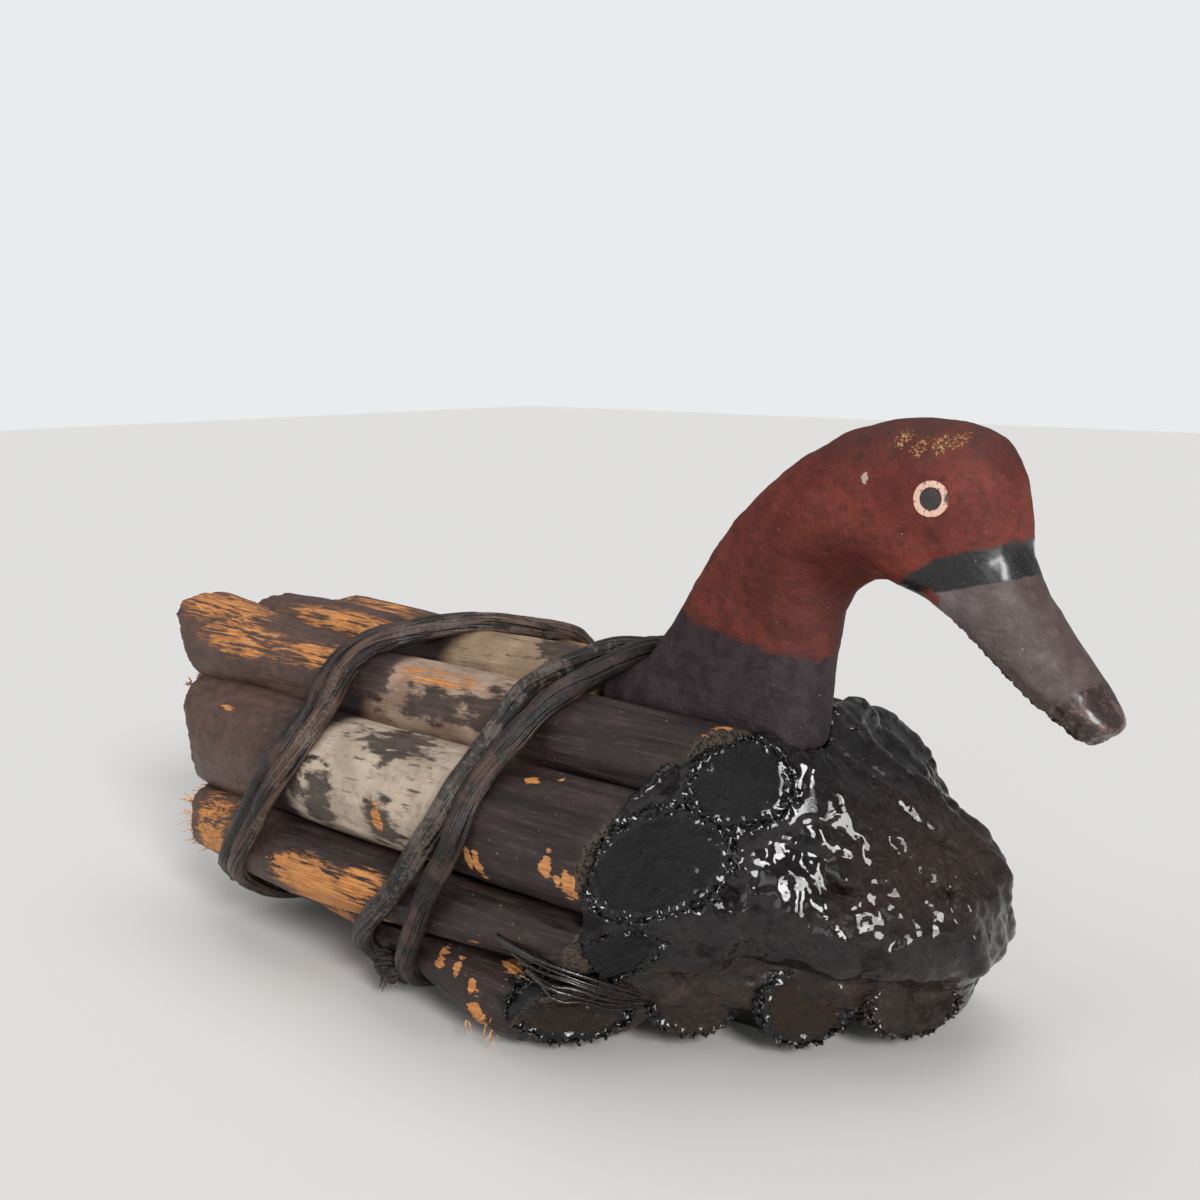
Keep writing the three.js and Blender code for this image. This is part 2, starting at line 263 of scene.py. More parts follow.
def settle(piece, material, *nodes, smooth_angle=50.0):
    """Shade it smooth, give it its material, and let it stand for its CAD nodes."""
    take(piece)
    for v in piece.data.vertices:
        v.co.z = max(v.co.z, 0.0)  # nothing sinks into the floor
    bpy.ops.object.shade_smooth_by_angle(angle=math.radians(smooth_angle))
    piece.data.materials.append(material)
    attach(piece, "root")
    if nodes:
        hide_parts(*nodes)
    print(piece.name, len(piece.data.polygons), "faces")
    return piece


# %% [markdown]
# ## Materials: the tools
# A small builder keeps each material readable: it adds a node, sets its values and hands
# back its output. Places are read in the maker's millimetres through one shared group, so
# a patch of paint can be put where it really is.

# %% A node builder
class Finish:
    def __init__(self, name, slot, tree=None):
        if tree is None:
            self.material = bpy.data.materials.new(name)
            self.material["slot"] = slot
            self.material.use_nodes = True
            tree = self.material.node_tree
            self.shader = tree.nodes["Principled BSDF"]
        self.tree = tree

    def add(self, kind, **values):
        node = self.tree.nodes.new(kind)
        for key, value in values.items():
            setattr(node, key, value)
        return node

    def feed(self, socket, value):
        if isinstance(value, bpy.types.NodeSocket):
            self.tree.links.new(value, socket)
        elif value is not None:
            socket.default_value = value

    def math(self, operation, a, b=None, c=None, clamp=False):
        node = self.add("ShaderNodeMath", operation=operation, use_clamp=clamp)
        for socket, value in zip(node.inputs, (a, b, c)):
            self.feed(socket, value)
        return node.outputs[0]

    def mul(self, a, b):
        return self.math("MULTIPLY", a, b)

    def either(self, a, b):
        return self.math("MAXIMUM", a, b)

    def ramp(self, value, low, high, out_low=0.0, out_high=1.0):
        node = self.add("ShaderNodeMapRange", interpolation_type="SMOOTHSTEP")
        for i, v in enumerate((value, low, high, out_low, out_high)):
            self.feed(node.inputs[i], v)
        return node.outputs[0]

    def band(self, value, low, high, soft):
        rise = self.ramp(value, low - soft, low + soft)
        fall = self.ramp(value, high - soft, high + soft, 1.0, 0.0)
        return self.mul(rise, fall)

    def blend(self, amount, a, b):
        node = self.add("ShaderNodeMix", data_type="RGBA")
        self.feed(node.inputs["Factor"], amount)
        self.feed(node.inputs[6], a)
        self.feed(node.inputs[7], b)
        return node.outputs[2]

    def noise(self, place, size, detail=3.0, rough=0.55, bend=0.0):
        node = self.add("ShaderNodeTexNoise")
        self.feed(node.inputs["Vector"], place)
        self.feed(node.inputs["Scale"], 1.0 / size)
        self.feed(node.inputs["Detail"], detail)
        self.feed(node.inputs["Roughness"], rough)
        self.feed(node.inputs["Distortion"], bend)
        return node.outputs["Fac"]

    def group(self, made, **values):
        node = self.add("ShaderNodeGroup", node_tree=made)
        for key, value in values.items():
            self.feed(node.inputs[key.replace("_", " ")], value)
        return node

    def bump(self, height, depth_mm, normal=None):
        node = self.add("ShaderNodeBump")
        node.inputs["Strength"].default_value = 1.0
        node.inputs["Distance"].default_value = depth_mm / 1000.0
        self.feed(node.inputs["Height"], height)
        self.feed(node.inputs["Normal"], normal)
        return node.outputs["Normal"]


def new_group(name, inputs, outputs):
    tree = bpy.data.node_groups.new(name, "ShaderNodeTree")
    for label, kind, value in inputs:
        socket = tree.interface.new_socket(name=label, in_out="INPUT", socket_type=kind)
        if value is not None:
            socket.default_value = value
    for label, kind in outputs:
        tree.interface.new_socket(name=label, in_out="OUTPUT", socket_type=kind)
    start = tree.nodes.new("NodeGroupInput")
    end = tree.nodes.new("NodeGroupOutput")
    return Finish(name, None, tree), start.outputs, end.inputs


# %% [markdown]
# ### Shared effects
# `maker place` turns object coordinates into millimetres. `along the grain` stretches noise
# down the length of a stem, for grain, streaks and furrows. `flaked paint` is a mask of the
# spots where paint has come off: long along the grain, ragged at the edges, and as common
# as its amount says. `mottle` is slow patchiness, for dirt and uneven paint. `ragged patch`
# puts one blotch or one bare spot at a chosen place, with an edge broken up by noise.

# %% Shared node groups
FLOAT, VECTOR = "NodeSocketFloat", "NodeSocketVector"

g, start, end = new_group("maker place", [], [("Place", VECTOR), ("X", FLOAT), ("Y", FLOAT),
                                              ("Z", FLOAT)])
coords = g.add("ShaderNodeTexCoord").outputs["Object"]
scaled = g.add("ShaderNodeVectorMath", operation="SCALE")
g.feed(scaled.inputs[0], coords)
scaled.inputs["Scale"].default_value = 1000.0
moved = g.add("ShaderNodeVectorMath", operation="ADD")
g.feed(moved.inputs[0], scaled.outputs[0])
moved.inputs[1].default_value = (KEEL_REST, 0, 0)
apart = g.add("ShaderNodeSeparateXYZ")
g.feed(apart.inputs[0], moved.outputs[0])
g.feed(end["Place"], moved.outputs[0])
for axis in "XYZ":
    g.feed(end[axis], apart.outputs[axis])
maker_place = g.tree

g, start, end = new_group(
    "along the grain",
    [("Place", VECTOR, None), ("Size", FLOAT, 2.0), ("Stretch", FLOAT, 12.0),
     ("Seed", FLOAT, 0.0), ("Detail", FLOAT, 4.0)],
    [("Value", FLOAT)])
parts = g.add("ShaderNodeSeparateXYZ")
g.feed(parts.inputs[0], start["Place"])
back = g.add("ShaderNodeCombineXYZ")
g.feed(back.inputs["X"], g.math("ADD", g.math("DIVIDE", parts.outputs["X"], start["Stretch"]),
                                g.mul(start["Seed"], 37.0)))
g.feed(back.inputs["Y"], parts.outputs["Y"])
g.feed(back.inputs["Z"], parts.outputs["Z"])
fibre = g.add("ShaderNodeTexNoise")
g.feed(fibre.inputs["Vector"], back.outputs[0])
g.feed(fibre.inputs["Scale"], g.math("DIVIDE", 1.0, start["Size"]))
g.feed(fibre.inputs["Detail"], start["Detail"])
fibre.inputs["Roughness"].default_value = 0.6
fibre.inputs["Distortion"].default_value = 0.15
g.feed(end["Value"], fibre.outputs["Fac"])
along_grain = g.tree

g, start, end = new_group(
    "flaked paint",
    [("Place", VECTOR, None), ("Amount", FLOAT, 0.3), ("Size", FLOAT, 4.0),
     ("Stretch", FLOAT, 5.0), ("Seed", FLOAT, 0.0)],
    [("Mask", FLOAT), ("Edge", FLOAT)])
broad = g.group(along_grain, Place=start["Place"], Size=start["Size"],
                Stretch=start["Stretch"], Seed=start["Seed"], Detail=5.0).outputs[0]
fray = g.group(along_grain, Place=start["Place"], Size=0.55, Stretch=7.0,
               Seed=start["Seed"], Detail=2.0).outputs[0]
level = g.math("ADD", g.mul(broad, 0.78), g.mul(fray, 0.22))
cut = g.math("SUBTRACT", 0.72, g.mul(start["Amount"], 0.42))
g.feed(end["Mask"], g.ramp(level, cut, g.math("ADD", cut, 0.018)))
g.feed(end["Edge"], g.ramp(level, g.math("SUBTRACT", cut, 0.03), cut))
flaked_paint = g.tree

g, start, end = new_group(
    "mottle", [("Place", VECTOR, None), ("Size", FLOAT, 14.0), ("Seed", FLOAT, 0.0)],
    [("Value", FLOAT)])
spread = g.add("ShaderNodeVectorMath", operation="ADD")
g.feed(spread.inputs[0], start["Place"])
seeded = g.add("ShaderNodeCombineXYZ")
g.feed(seeded.inputs["X"], g.mul(start["Seed"], 53.0))
g.feed(spread.inputs[1], seeded.outputs[0])
cloud = g.add("ShaderNodeTexNoise")
g.feed(cloud.inputs["Vector"], spread.outputs[0])
g.feed(cloud.inputs["Scale"], g.math("DIVIDE", 1.0, start["Size"]))
cloud.inputs["Detail"].default_value = 4.0
cloud.inputs["Roughness"].default_value = 0.62
g.feed(end["Value"], g.ramp(cloud.outputs["Fac"], 0.32, 0.68))
mottle = g.tree

g, start, end = new_group(
    "ragged patch",
    [("Place", VECTOR, None), ("Centre", VECTOR, None), ("Radii", VECTOR, None),
     ("Edge", FLOAT, 0.5), ("Rag", FLOAT, 0.8), ("Soft", FLOAT, 0.06)],
    [("Mask", FLOAT)])
off_centre = g.add("ShaderNodeVectorMath", operation="SUBTRACT")
g.feed(off_centre.inputs[0], start["Place"])
g.feed(off_centre.inputs[1], start["Centre"])
shares = g.add("ShaderNodeVectorMath", operation="DIVIDE")
g.feed(shares.inputs[0], off_centre.outputs[0])
g.feed(shares.inputs[1], start["Radii"])
reach = g.add("ShaderNodeVectorMath", operation="LENGTH")
g.feed(reach.inputs[0], shares.outputs[0])
edge = g.mul(g.math("SUBTRACT", start["Edge"], 0.5), start["Rag"])
level = g.math("ADD", reach.outputs["Value"], g.mul(edge, 3.0))
g.feed(end["Mask"], g.ramp(level, g.math("ADD", start["Soft"], 0.97),
                           g.math("SUBTRACT", 0.97, start["Soft"])))
ragged_patch = g.tree
print("shared groups:", [tree.name for tree in bpy.data.node_groups])

# %% [markdown]
# ### Painted stem
# The stems were painted a dark charcoal-plum that has gone thin. Between the lashings a
# worn grey-beige saddle of paint is left on the top and right side, with dark blotches in
# it. Where the paint is off, orange-tan bark shows in streaks that follow the grain, most of
# all at the tail and low on the right.

# %% Painted stem material
def stem_finish(node, slot, seed, chips=0.10, saddle=None, blotches=(), bare=(), streaks=(),
                under=0.0, dip=None):
    f = Finish(node + "_finish", slot)
    here = f.group(maker_place).outputs
    place, x, y, z = here["Place"], here["X"], here["Y"], here["Z"]
    fine = f.group(along_grain, Place=place, Size=0.8, Stretch=24.0, Seed=seed).outputs[0]
    streak = f.group(along_grain, Place=place, Size=5.0, Stretch=9.0, Seed=seed + 3).outputs[0]
    rough = f.group(along_grain, Place=place, Size=3.2, Stretch=2.6, Seed=seed + 7,
                    Detail=6.0).outputs[0]
    hair = f.group(along_grain, Place=place, Size=1.7, Stretch=16.0, Seed=seed + 2,
                   Detail=3.0).outputs[0]
    patch = f.group(mottle, Place=place, Size=16.0, Seed=seed + 1).outputs[0]
    small = f.group(mottle, Place=place, Size=4.0, Seed=seed + 5).outputs[0]

    dark = f.blend(f.ramp(streak, 0.3, 0.7), (0.014, 0.0085, 0.0080, 1),
                   (0.050, 0.031, 0.029, 1))
    behind = f.ramp(x, -45.0, -75.0)
    dark = f.blend(f.mul(behind, 0.72), dark, (0.150, 0.080, 0.058, 1))
    dark = f.blend(f.mul(f.ramp(fine, 0.50, 0.72), 0.50), dark, (0.115, 0.072, 0.058, 1))
    colour = f.blend(f.mul(small, 0.45), dark, (0.012, 0.008, 0.008, 1))

    def patches(rows, edge, rag, soft):
        total = 0.0
        for cx, cy, cz, rx, ry, rz in rows:
            one = f.group(ragged_patch, Place=place, Centre=(cx, cy, cz), Radii=(rx, ry, rz),
                          Edge=edge, Rag=rag, Soft=soft).outputs[0]
            total = f.either(total, one)
        return total

    if saddle:
        slant = f.math("SUBTRACT", x, f.mul(z, 0.42))
        worn = f.mul(f.band(slant, -66.0, 4.0, 5.0), f.ramp(z, 44.0, 52.0))
        worn = f.mul(worn, f.ramp(y, 10.0, 26.0, 1.0, 0.3))
        thin = f.ramp(f.math("ADD", f.mul(rough, 0.6), f.mul(fine, 0.4)), 0.34, 0.46)
        worn = f.mul(worn, f.math("ADD", 0.15, f.mul(thin, 0.85)))
        if blotches:
            worn = f.mul(worn, f.math("SUBTRACT", 1.0,
                                      f.mul(patches(blotches, rough, 1.2, 0.30), 0.88)))
        deep, light = saddle
        grey = f.blend(patch, deep, light)
        grey = f.blend(f.mul(f.ramp(fine, 0.52, 0.75), 0.40), grey, (0.52, 0.44, 0.35, 1))
        grey = f.blend(f.mul(f.ramp(small, 0.55, 1.0), 0.35), grey, (0.22, 0.13, 0.075, 1))
        colour = f.blend(worn, colour, grey)

    flakes = f.group(flaked_paint, Place=place, Amount=chips, Size=4.2, Stretch=4.5, Seed=seed)
    off = flakes.outputs["Mask"]
    if bare:
        off = f.either(off, patches(bare, f.math("ADD", f.mul(rough, 0.55), f.mul(hair, 0.45)),
                                    1.5, 0.06))
    if streaks:
        off = f.either(off, f.mul(patches(streaks, hair, 1.0, 0.16),
                                  f.ramp(f.math("ADD", f.mul(hair, 0.7), f.mul(rough, 0.3)),
                                         0.44, 0.50)))
    if under:
        off = f.either(off, f.group(flaked_paint, Place=place, Amount=under, Size=7.0,
                                    Stretch=5.0, Seed=seed + 6).outputs["Mask"])
    tan = f.blend(f.ramp(fine, 0.35, 0.65), (0.38, 0.125, 0.028, 1), (0.74, 0.31, 0.085, 1))
    tan = f.blend(f.mul(patch, 0.4), tan, (0.52, 0.27, 0.12, 1))
    tan = f.blend(f.mul(f.ramp(small, 0.5, 1.0), 0.30), tan, (0.20, 0.085, 0.035, 1))
    dipped = 0.0
    if dip:
        dipped = f.ramp(f.math("ADD", x, f.mul(f.math("SUBTRACT", rough, 0.5), 26.0)),
                        dip - 1.5, dip + 1.5)
        off = f.mul(off, f.math("SUBTRACT", 1.0, dipped))
    colour = f.blend(off, colour, tan)
    colour = f.blend(dipped, colour, (0.0050, 0.0035, 0.0036, 1))
    speck = f.ramp(f.noise(place, 1.1, 2.0, 0.5), 0.745, 0.76)
    colour = f.blend(f.mul(speck, 0.7), colour, (0.45, 0.38, 0.32, 1))
    f.feed(f.shader.inputs["Base Color"], colour)
    gloss = f.math("ADD", 0.40, f.mul(patch, 0.18))
    gloss = f.math("ADD", gloss, f.mul(off, 0.20))
    f.feed(f.shader.inputs["Roughness"], f.math("SUBTRACT", gloss, f.mul(dipped, 0.22)))
    f.shader.inputs["Specular IOR Level"].default_value = 0.28
    furrow = f.math("ADD", f.mul(fine, 0.55), f.mul(hair, 0.45))
    height = f.math("SUBTRACT", furrow, f.mul(off, 0.45))
    f.feed(f.shader.inputs["Normal"], f.bump(height, 0.42))
    return f.material


BEIGE = ((0.36, 0.285, 0.215, 1), (0.54, 0.435, 0.335, 1))
BROWN = ((0.25, 0.155, 0.110, 1), (0.42, 0.300, 0.220, 1))
STRAW = ((0.26, 0.175, 0.110, 1), (0.42, 0.290, 0.180, 1))
# Each blotch, bare spot or streak is a centre x, y, z and its half sizes, in mm.
painted = {
    "stem_top_right": stem_finish(
        "top_right", "painted_stem", 1, 0.06, BROWN,
        blotches=[(4, -42, 92, 17, 9, 6), (27, -40, 93, 10, 8, 7), (-26, -39, 96, 5, 8, 9)],
        bare=[(108, -29, 97, 5, 5, 2)],
        streaks=[(-128, -25, 107, 30, 12, 6), (-100, -36, 99, 26, 6, 7), (-62, -36, 99, 16, 6, 5),
                 (-2, -35, 99, 19, 5, 3.2)]),
    "stem_top_left": stem_finish("top_left", "painted_stem", 2, 0.14, STRAW,
                                 streaks=[(-100, 22, 104, 26, 9, 6), (10, 36, 98, 30, 9, 6)]),
    "stem_top_middle": stem_finish(
        "top_middle", "painted_stem", 3, 0.06, STRAW, blotches=[(20, 0, 106, 9, 9, 6)],
        streaks=[(-84, -7, 104, 30, 6, 5), (-50, 3, 106, 16, 4, 3)]),
    "stem_side_right": stem_finish(
        "side_right", "painted_stem", 4, 0.03, BEIGE,
        blotches=[(-1, -52, 80, 16, 11, 5), (-27, -64, 60, 8, 8, 11), (6, -66, 58, 9, 8, 8),
                  (-38, -62, 66, 5, 6, 6), (24, -66, 52, 9, 8, 5)],
        bare=[(48, -66, 55, 1.6, 4, 5), (44.5, -66, 57, 1.4, 4, 4), (76, -66, 61, 2.2, 4, 4.5),
              (84, -65, 56, 3.2, 5, 5), (80, -66, 58, 1.6, 4, 2.2), (58, -54, 80, 2.6, 2, 1.4),
              (66, -50, 81, 1.2, 1.5, 1.2), (4.5, -66, 60, 2.4, 4, 5),
              (-87, -50, 78, 7, 2.5, 0.8)]),
    "stem_side_left": stem_finish("side_left", "painted_stem", 5, 0.18, BROWN,
                                  blotches=[(-10, 60, 76, 20, 12, 9)],
                                  streaks=[(-92, 50, 74, 22, 9, 9)]),
    "stem_filler_right": stem_finish(
        "filler_right", "bare_stem", 6, 0.10, dip=82.0,
        streaks=[(-93, -55, 37, 14, 9, 12), (-26, -65, 31, 26, 9, 10), (-2, -67, 39, 12, 6, 5)],
        bare=[(-20, -64, 27, 24, 9, 5), (-92, -57, 31, 12, 8, 6), (-34, -66, 35, 17, 9, 5),
              (-8, -67, 36, 9, 9, 2.5)]),
    "stem_filler_left": stem_finish("filler_left", "bare_stem", 7, 0.20,
                                    streaks=[(-60, 62, 32, 30, 9, 9), (20, 66, 34, 26, 9, 9)]),
    "stem_low_right": stem_finish(
        "low_right", "bare_stem", 8, 0.13, under=0.12, dip=58.0,
        bare=[(57, -57, 24.5, 5, 5, 2.5), (36, -63, 20, 1.6, 4, 3), (28, -60, 20, 2.2, 4, 4),
              (44, -65, 18, 1.5, 4, 2.5), (47, -66, 8, 3, 4, 7)],
        streaks=[(-40, -47, 20, 40, 10, 8)]),
    "stem_low_left": stem_finish("low_left", "bare_stem", 9, 0.18, under=0.2,
                                 streaks=[(-30, 54, 20, 50, 12, 10)]),
    "stem_low_middle_right": stem_finish("low_middle_right", "bare_stem", 10, 0.2, under=0.45,
                                         dip=56.0),
    "stem_low_middle": stem_finish("low_middle", "bare_stem", 11, 0.2, under=0.5, dip=88.0),
    "stem_low_middle_left": stem_finish("low_middle_left", "bare_stem", 12, 0.2, under=0.45,
                                        dip=100.0),
}
print(len(painted), "stem finishes")

# %% [markdown]
# ### Sawn pith
# A cut stem shows a spongy brown pith dotted with pores and darker toward its rind. At the
# breast it is soaked in tar, so the same finish is made once dry and once tarred.

# %% Pith materials
def pith_finish(name, slot, light, deep, rough):
    f = Finish(name, slot)
    place = f.group(maker_place).outputs["Place"]
    pores = f.add("ShaderNodeTexVoronoi", feature="F1")
    f.feed(pores.inputs["Vector"], place)
    pores.inputs["Scale"].default_value = 0.85
    patch = f.group(mottle, Place=place, Size=6.0, Seed=2.0).outputs[0]
    hole = f.ramp(pores.outputs["Distance"], 0.12, 0.5)
    colour = f.blend(patch, deep, light)
    colour = f.blend(hole, tuple(c * 0.35 for c in deep[:3]) + (1,), colour)
    f.feed(f.shader.inputs["Base Color"], colour)
    f.feed(f.shader.inputs["Roughness"], f.math("ADD", rough, f.mul(patch, 0.25)))
    rag = f.noise(place, 0.8, 4.0, 0.7)
    f.feed(f.shader.inputs["Normal"], f.bump(f.math("ADD", hole, rag), 0.7))
    return f.material


dry_pith = pith_finish("sawn_pith", "bare_stem", (0.34, 0.20, 0.09, 1), (0.10, 0.055, 0.028, 1),
                       0.75)
tarred_pith = pith_finish("tarred_pith", "tar", (0.060, 0.033, 0.015, 1),
                          (0.016, 0.010, 0.006, 1), 0.34)
print("pith:", dry_pith.name, tarred_pith.name)

# %% [markdown]
# ### Tar
# Thick boiled tar: nearly black, glossy where it ran and pooled, duller where it dried thin,
# with fine wrinkles, pinholes and a faint brown tint that grows towards the bottom.

# %% Tar material
def attribute(f, name):
    node = f.add("ShaderNodeAttribute", attribute_name=name)
    return node.outputs["Fac"]


def tar_finish(name, brown_low, brown_disc):
    f = Finish(name, "tar")
    here = f.group(maker_place).outputs
    place, x, z = here["Place"], here["X"], here["Z"]
    sawn, rim = attribute(f, "sawn"), attribute(f, "rim")
    pool = f.group(mottle, Place=place, Size=9.0, Seed=1.0).outputs[0]
    brown = f.mul(f.ramp(z, 36.0, 10.0),
                  f.group(mottle, Place=place, Size=7.0, Seed=8.0).outputs[0])
    colour = f.blend(pool, (0.0040, 0.0028, 0.0032, 1), (0.0150, 0.0095, 0.0105, 1))
    far_side = f.mul(f.ramp(x, 122.0, 150.0), f.ramp(z, 30.0, 60.0))
    colour = f.blend(f.mul(far_side, 0.6), colour, (0.058, 0.034, 0.027, 1))
    colour = f.blend(f.mul(brown, brown_low), colour, (0.085, 0.038, 0.013, 1))
    colour = f.blend(sawn, colour, brown_disc)
    colour = f.blend(rim, colour, (0.0035, 0.0028, 0.0028, 1))
    f.feed(f.shader.inputs["Base Color"], colour)
    dull = f.ramp(f.noise(place, 11.0, 5.0, 0.6), 0.50, 0.64)
    dull = f.either(f.mul(dull, 0.85), f.mul(far_side, 0.75))
    dull = f.either(dull, f.mul(sawn, 0.75))
    dull = f.mul(dull, f.math("SUBTRACT", 1.0, f.mul(rim, 0.8)))
    f.feed(f.shader.inputs["Roughness"], f.math("ADD", 0.16, f.mul(dull, 0.40)))
    f.feed(f.shader.inputs["Coat Weight"], f.mul(f.math("SUBTRACT", 1.0, dull), 0.75))
    f.shader.inputs["Coat Roughness"].default_value = 0.07
    f.shader.inputs["Specular IOR Level"].default_value = 0.14
    wrinkle = f.add("ShaderNodeTexNoise")
    f.feed(wrinkle.inputs["Vector"], place)
    wrinkle.inputs["Scale"].default_value = 0.30
    wrinkle.inputs["Detail"].default_value = 5.0
    wrinkle.inputs["Roughness"].default_value = 0.58
    wrinkle.inputs["Distortion"].default_value = 1.8
    beads = f.add("ShaderNodeTexVoronoi", feature="SMOOTH_F1")
    f.feed(beads.inputs["Vector"], place)
    beads.inputs["Scale"].default_value = 0.85
    crumbs = f.noise(place, 1.2, 4.0, 0.7)
    height = f.mul(wrinkle.outputs["Fac"], f.math("SUBTRACT", 1.0, f.mul(sawn, 0.7)))
    height = f.math("ADD", height, f.mul(f.mul(beads.outputs["Distance"], rim), 0.9))
    height = f.math("ADD", height, f.mul(crumbs, f.math("ADD", 0.14, f.mul(sawn, 0.20))))
    f.feed(f.shader.inputs["Normal"], f.bump(height, 2.2))
    return f.material


glossy_tar = tar_finish("glossy_tar", 0.75, (0.0065, 0.0062, 0.0062, 1))
tarred_end = tar_finish("tarred_end", 0.3, (0.020, 0.0090, 0.0030, 1))
print("tar:", glossy_tar.name, tarred_end.name)

# %% [markdown]
# ### Head paint
# One carved piece wears five finishes: matte brick red on the head and upper neck, smudged
# and flecked; charcoal on the lower neck and foot; a glossy black band round the root of
# the bill; a grey bill; and a black nail at its tip, worn to wood. The red also carries
# painted shade under the jaw and down the neck, where the head shades it. Their borders
# are planes placed in the maker's measure and roughened with noise, as a brush leaves them.

# %% Head material
f = Finish("head_paint", "head_paint")
here = f.group(maker_place).outputs
place, x, y, z = here["Place"], here["X"], here["Y"], here["Z"]
wobble = f.math("SUBTRACT", f.noise(place, 5.0, 3.0), 0.5)
fine = f.noise(place, 0.9, 4.0, 0.7)
patch = f.group(mottle, Place=place, Size=15.0, Seed=4.0).outputs[0]
smear = f.group(mottle, Place=place, Size=5.0, Seed=7.0).outputs[0]

brush = f.group(along_grain, Place=place, Size=1.4, Stretch=9.0, Seed=5.0).outputs[0]
red = f.blend(patch, (0.125, 0.018, 0.011, 1), (0.205, 0.038, 0.024, 1))
red = f.blend(f.mul(f.ramp(smear, 0.45, 1.0), 0.42), red, (0.062, 0.014, 0.010, 1))
red = f.blend(f.mul(f.ramp(brush, 0.54, 0.70), 0.35), red, (0.22, 0.062, 0.044, 1))
red = f.blend(f.mul(f.ramp(f.noise(place, 2.2, 6.0, 0.75), 0.52, 0.66), 0.55), red,
              (0.050, 0.012, 0.009, 1))
# Painted shade: a dark patch on the red under the jaw, where the cheek shades the throat.
jaw_painted_shade = f.group(ragged_patch, Place=place, Centre=(122.0, -14.0, 140.0), Radii=(17.0, 40.0, 9.0),
               Edge=wobble, Rag=0.3, Soft=0.8).outputs[0]
red = f.blend(f.mul(jaw_painted_shade, 0.45), red, (0.055, 0.010, 0.007, 1))
# Painted shade: the red darkens down the neck below the head, as if in the head's shadow.
neck_painted_shade = f.mul(f.ramp(z, 142.0, 122.0), f.math("ADD", 0.20, f.mul(smear, 0.5)))
red = f.blend(neck_painted_shade, red, (0.072, 0.016, 0.011, 1))
crown = f.mul(f.ramp(z, 168.0, 180.0), f.math("ADD", 0.35, f.mul(smear, 0.5)))
red = f.blend(crown, red, (0.070, 0.026, 0.020, 1))

neck_line = f.math("SUBTRACT", z, f.math("SUBTRACT", 122.0,
                                         f.mul(f.math("SUBTRACT", x, 95.0), 0.20)))
charcoal = f.ramp(f.math("ADD", neck_line, f.mul(wobble, 5.0)), 1.6, -1.6)
soot = f.blend(smear, (0.021, 0.0125, 0.0150, 1), (0.044, 0.029, 0.033, 1))
colour = f.blend(charcoal, red, soot)


def below(px, pz, slope, wave, soft=0.7):
    """A mask of all that lies below a line through (px, pz), seen from the side."""
    line = f.math("ADD", pz, f.mul(f.math("SUBTRACT", x, px), slope))
    return f.ramp(f.math("ADD", f.math("SUBTRACT", line, z), f.mul(wobble, wave)), -soft, soft)


forward = f.ramp(x, 138.0, 141.0)
band = f.mul(f.mul(below(154.4, 142.9, 0.62, 1.6, 0.5), below(168.6, 151.1, 0.25, 3.0, 1.1)),
             forward)
bill = f.mul(below(155.8, 138.4, 0.25, 1.2, 0.35), forward)
nail = f.mul(below(197.0, 114.5, 0.85, 7.0, 0.9), f.ramp(x, 178.0, 181.0))
black = (0.0060, 0.0045, 0.0050, 1)
colour = f.blend(band, colour, black)
blush = f.group(ragged_patch, Place=place, Centre=(161.0, -13.0, 138.5), Radii=(3.2, 6.0, 2.6),
                Edge=fine, Rag=0.8, Soft=0.2).outputs[0]
grey = f.blend(patch, (0.120, 0.090, 0.090, 1), (0.215, 0.168, 0.176, 1))
worn = f.mul(f.ramp(x, 160.0, 188.0), f.math("ADD", 0.35, f.mul(smear, 0.6)))
grey = f.blend(worn, grey, (0.092, 0.068, 0.056, 1))
grey = f.blend(f.mul(f.ramp(brush, 0.52, 0.70), 0.28), grey, (0.27, 0.215, 0.22, 1))
grey = f.blend(f.mul(f.ramp(fine, 0.55, 0.7), 0.5), grey, (0.10, 0.070, 0.065, 1))
ridge = f.mul(f.ramp(f.math("ADD", f.math("SUBTRACT", z, 131.0),
                            f.mul(f.math("SUBTRACT", x, 194.0), 1.25)), -5.0, 1.0),
              f.math("ADD", 0.35, f.mul(smear, 0.5)))
grey = f.blend(ridge, grey, (0.085, 0.052, 0.046, 1))
saw = f.mul(f.ramp(f.math("ADD", f.math("SUBTRACT", z, 121.3),
                          f.mul(f.math("SUBTRACT", x, 175.5), 0.80)), 3.2, 0.4), 0.85)
grey = f.blend(saw, grey, (0.040, 0.020, 0.018, 1))
colour = f.blend(bill, colour, grey)
colour = f.blend(f.mul(blush, 0.8), colour, (0.20, 0.030, 0.020, 1))
rubbed = f.mul(nail, f.ramp(f.noise(place, 3.4, 4.0, 0.7), 0.50, 0.66))
colour = f.blend(nail, colour, (0.030, 0.0150, 0.0130, 1))
colour = f.blend(rubbed, colour, (0.17, 0.090, 0.066, 1))
flecks = f.ramp(f.noise(place, 1.3, 4.0, 0.8), 0.64, 0.69)
colour = f.blend(f.mul(flecks, f.ramp(z, 123.0, 130.0)), colour, (0.030, 0.011, 0.009, 1))
pale = f.ramp(f.noise(place, 1.0, 2.0, 0.5), 0.765, 0.78)
colour = f.blend(f.mul(pale, 0.8), colour, (0.50, 0.36, 0.30, 1))
gilded = f.ramp(f.noise(place, 0.8, 4.0, 0.75), 0.50, 0.56)
for gx, gy, gz, rx in ((153.0, -13, 179.4, 2.0), (158.5, -13, 177.5, 1.8), (163.5, -13, 178.5, 2.0),
                       (167.5, -12, 179.8, 1.6)):
    gilt = f.group(ragged_patch, Place=place, Centre=(gx, gy, gz), Radii=(rx, 6.0, 2.0),
                   Edge=f.noise(place, 0.9, 3.0, 0.7), Rag=1.5, Soft=0.05).outputs[0]
    colour = f.blend(f.mul(gilt, gilded), colour, (0.52, 0.27, 0.10, 1))
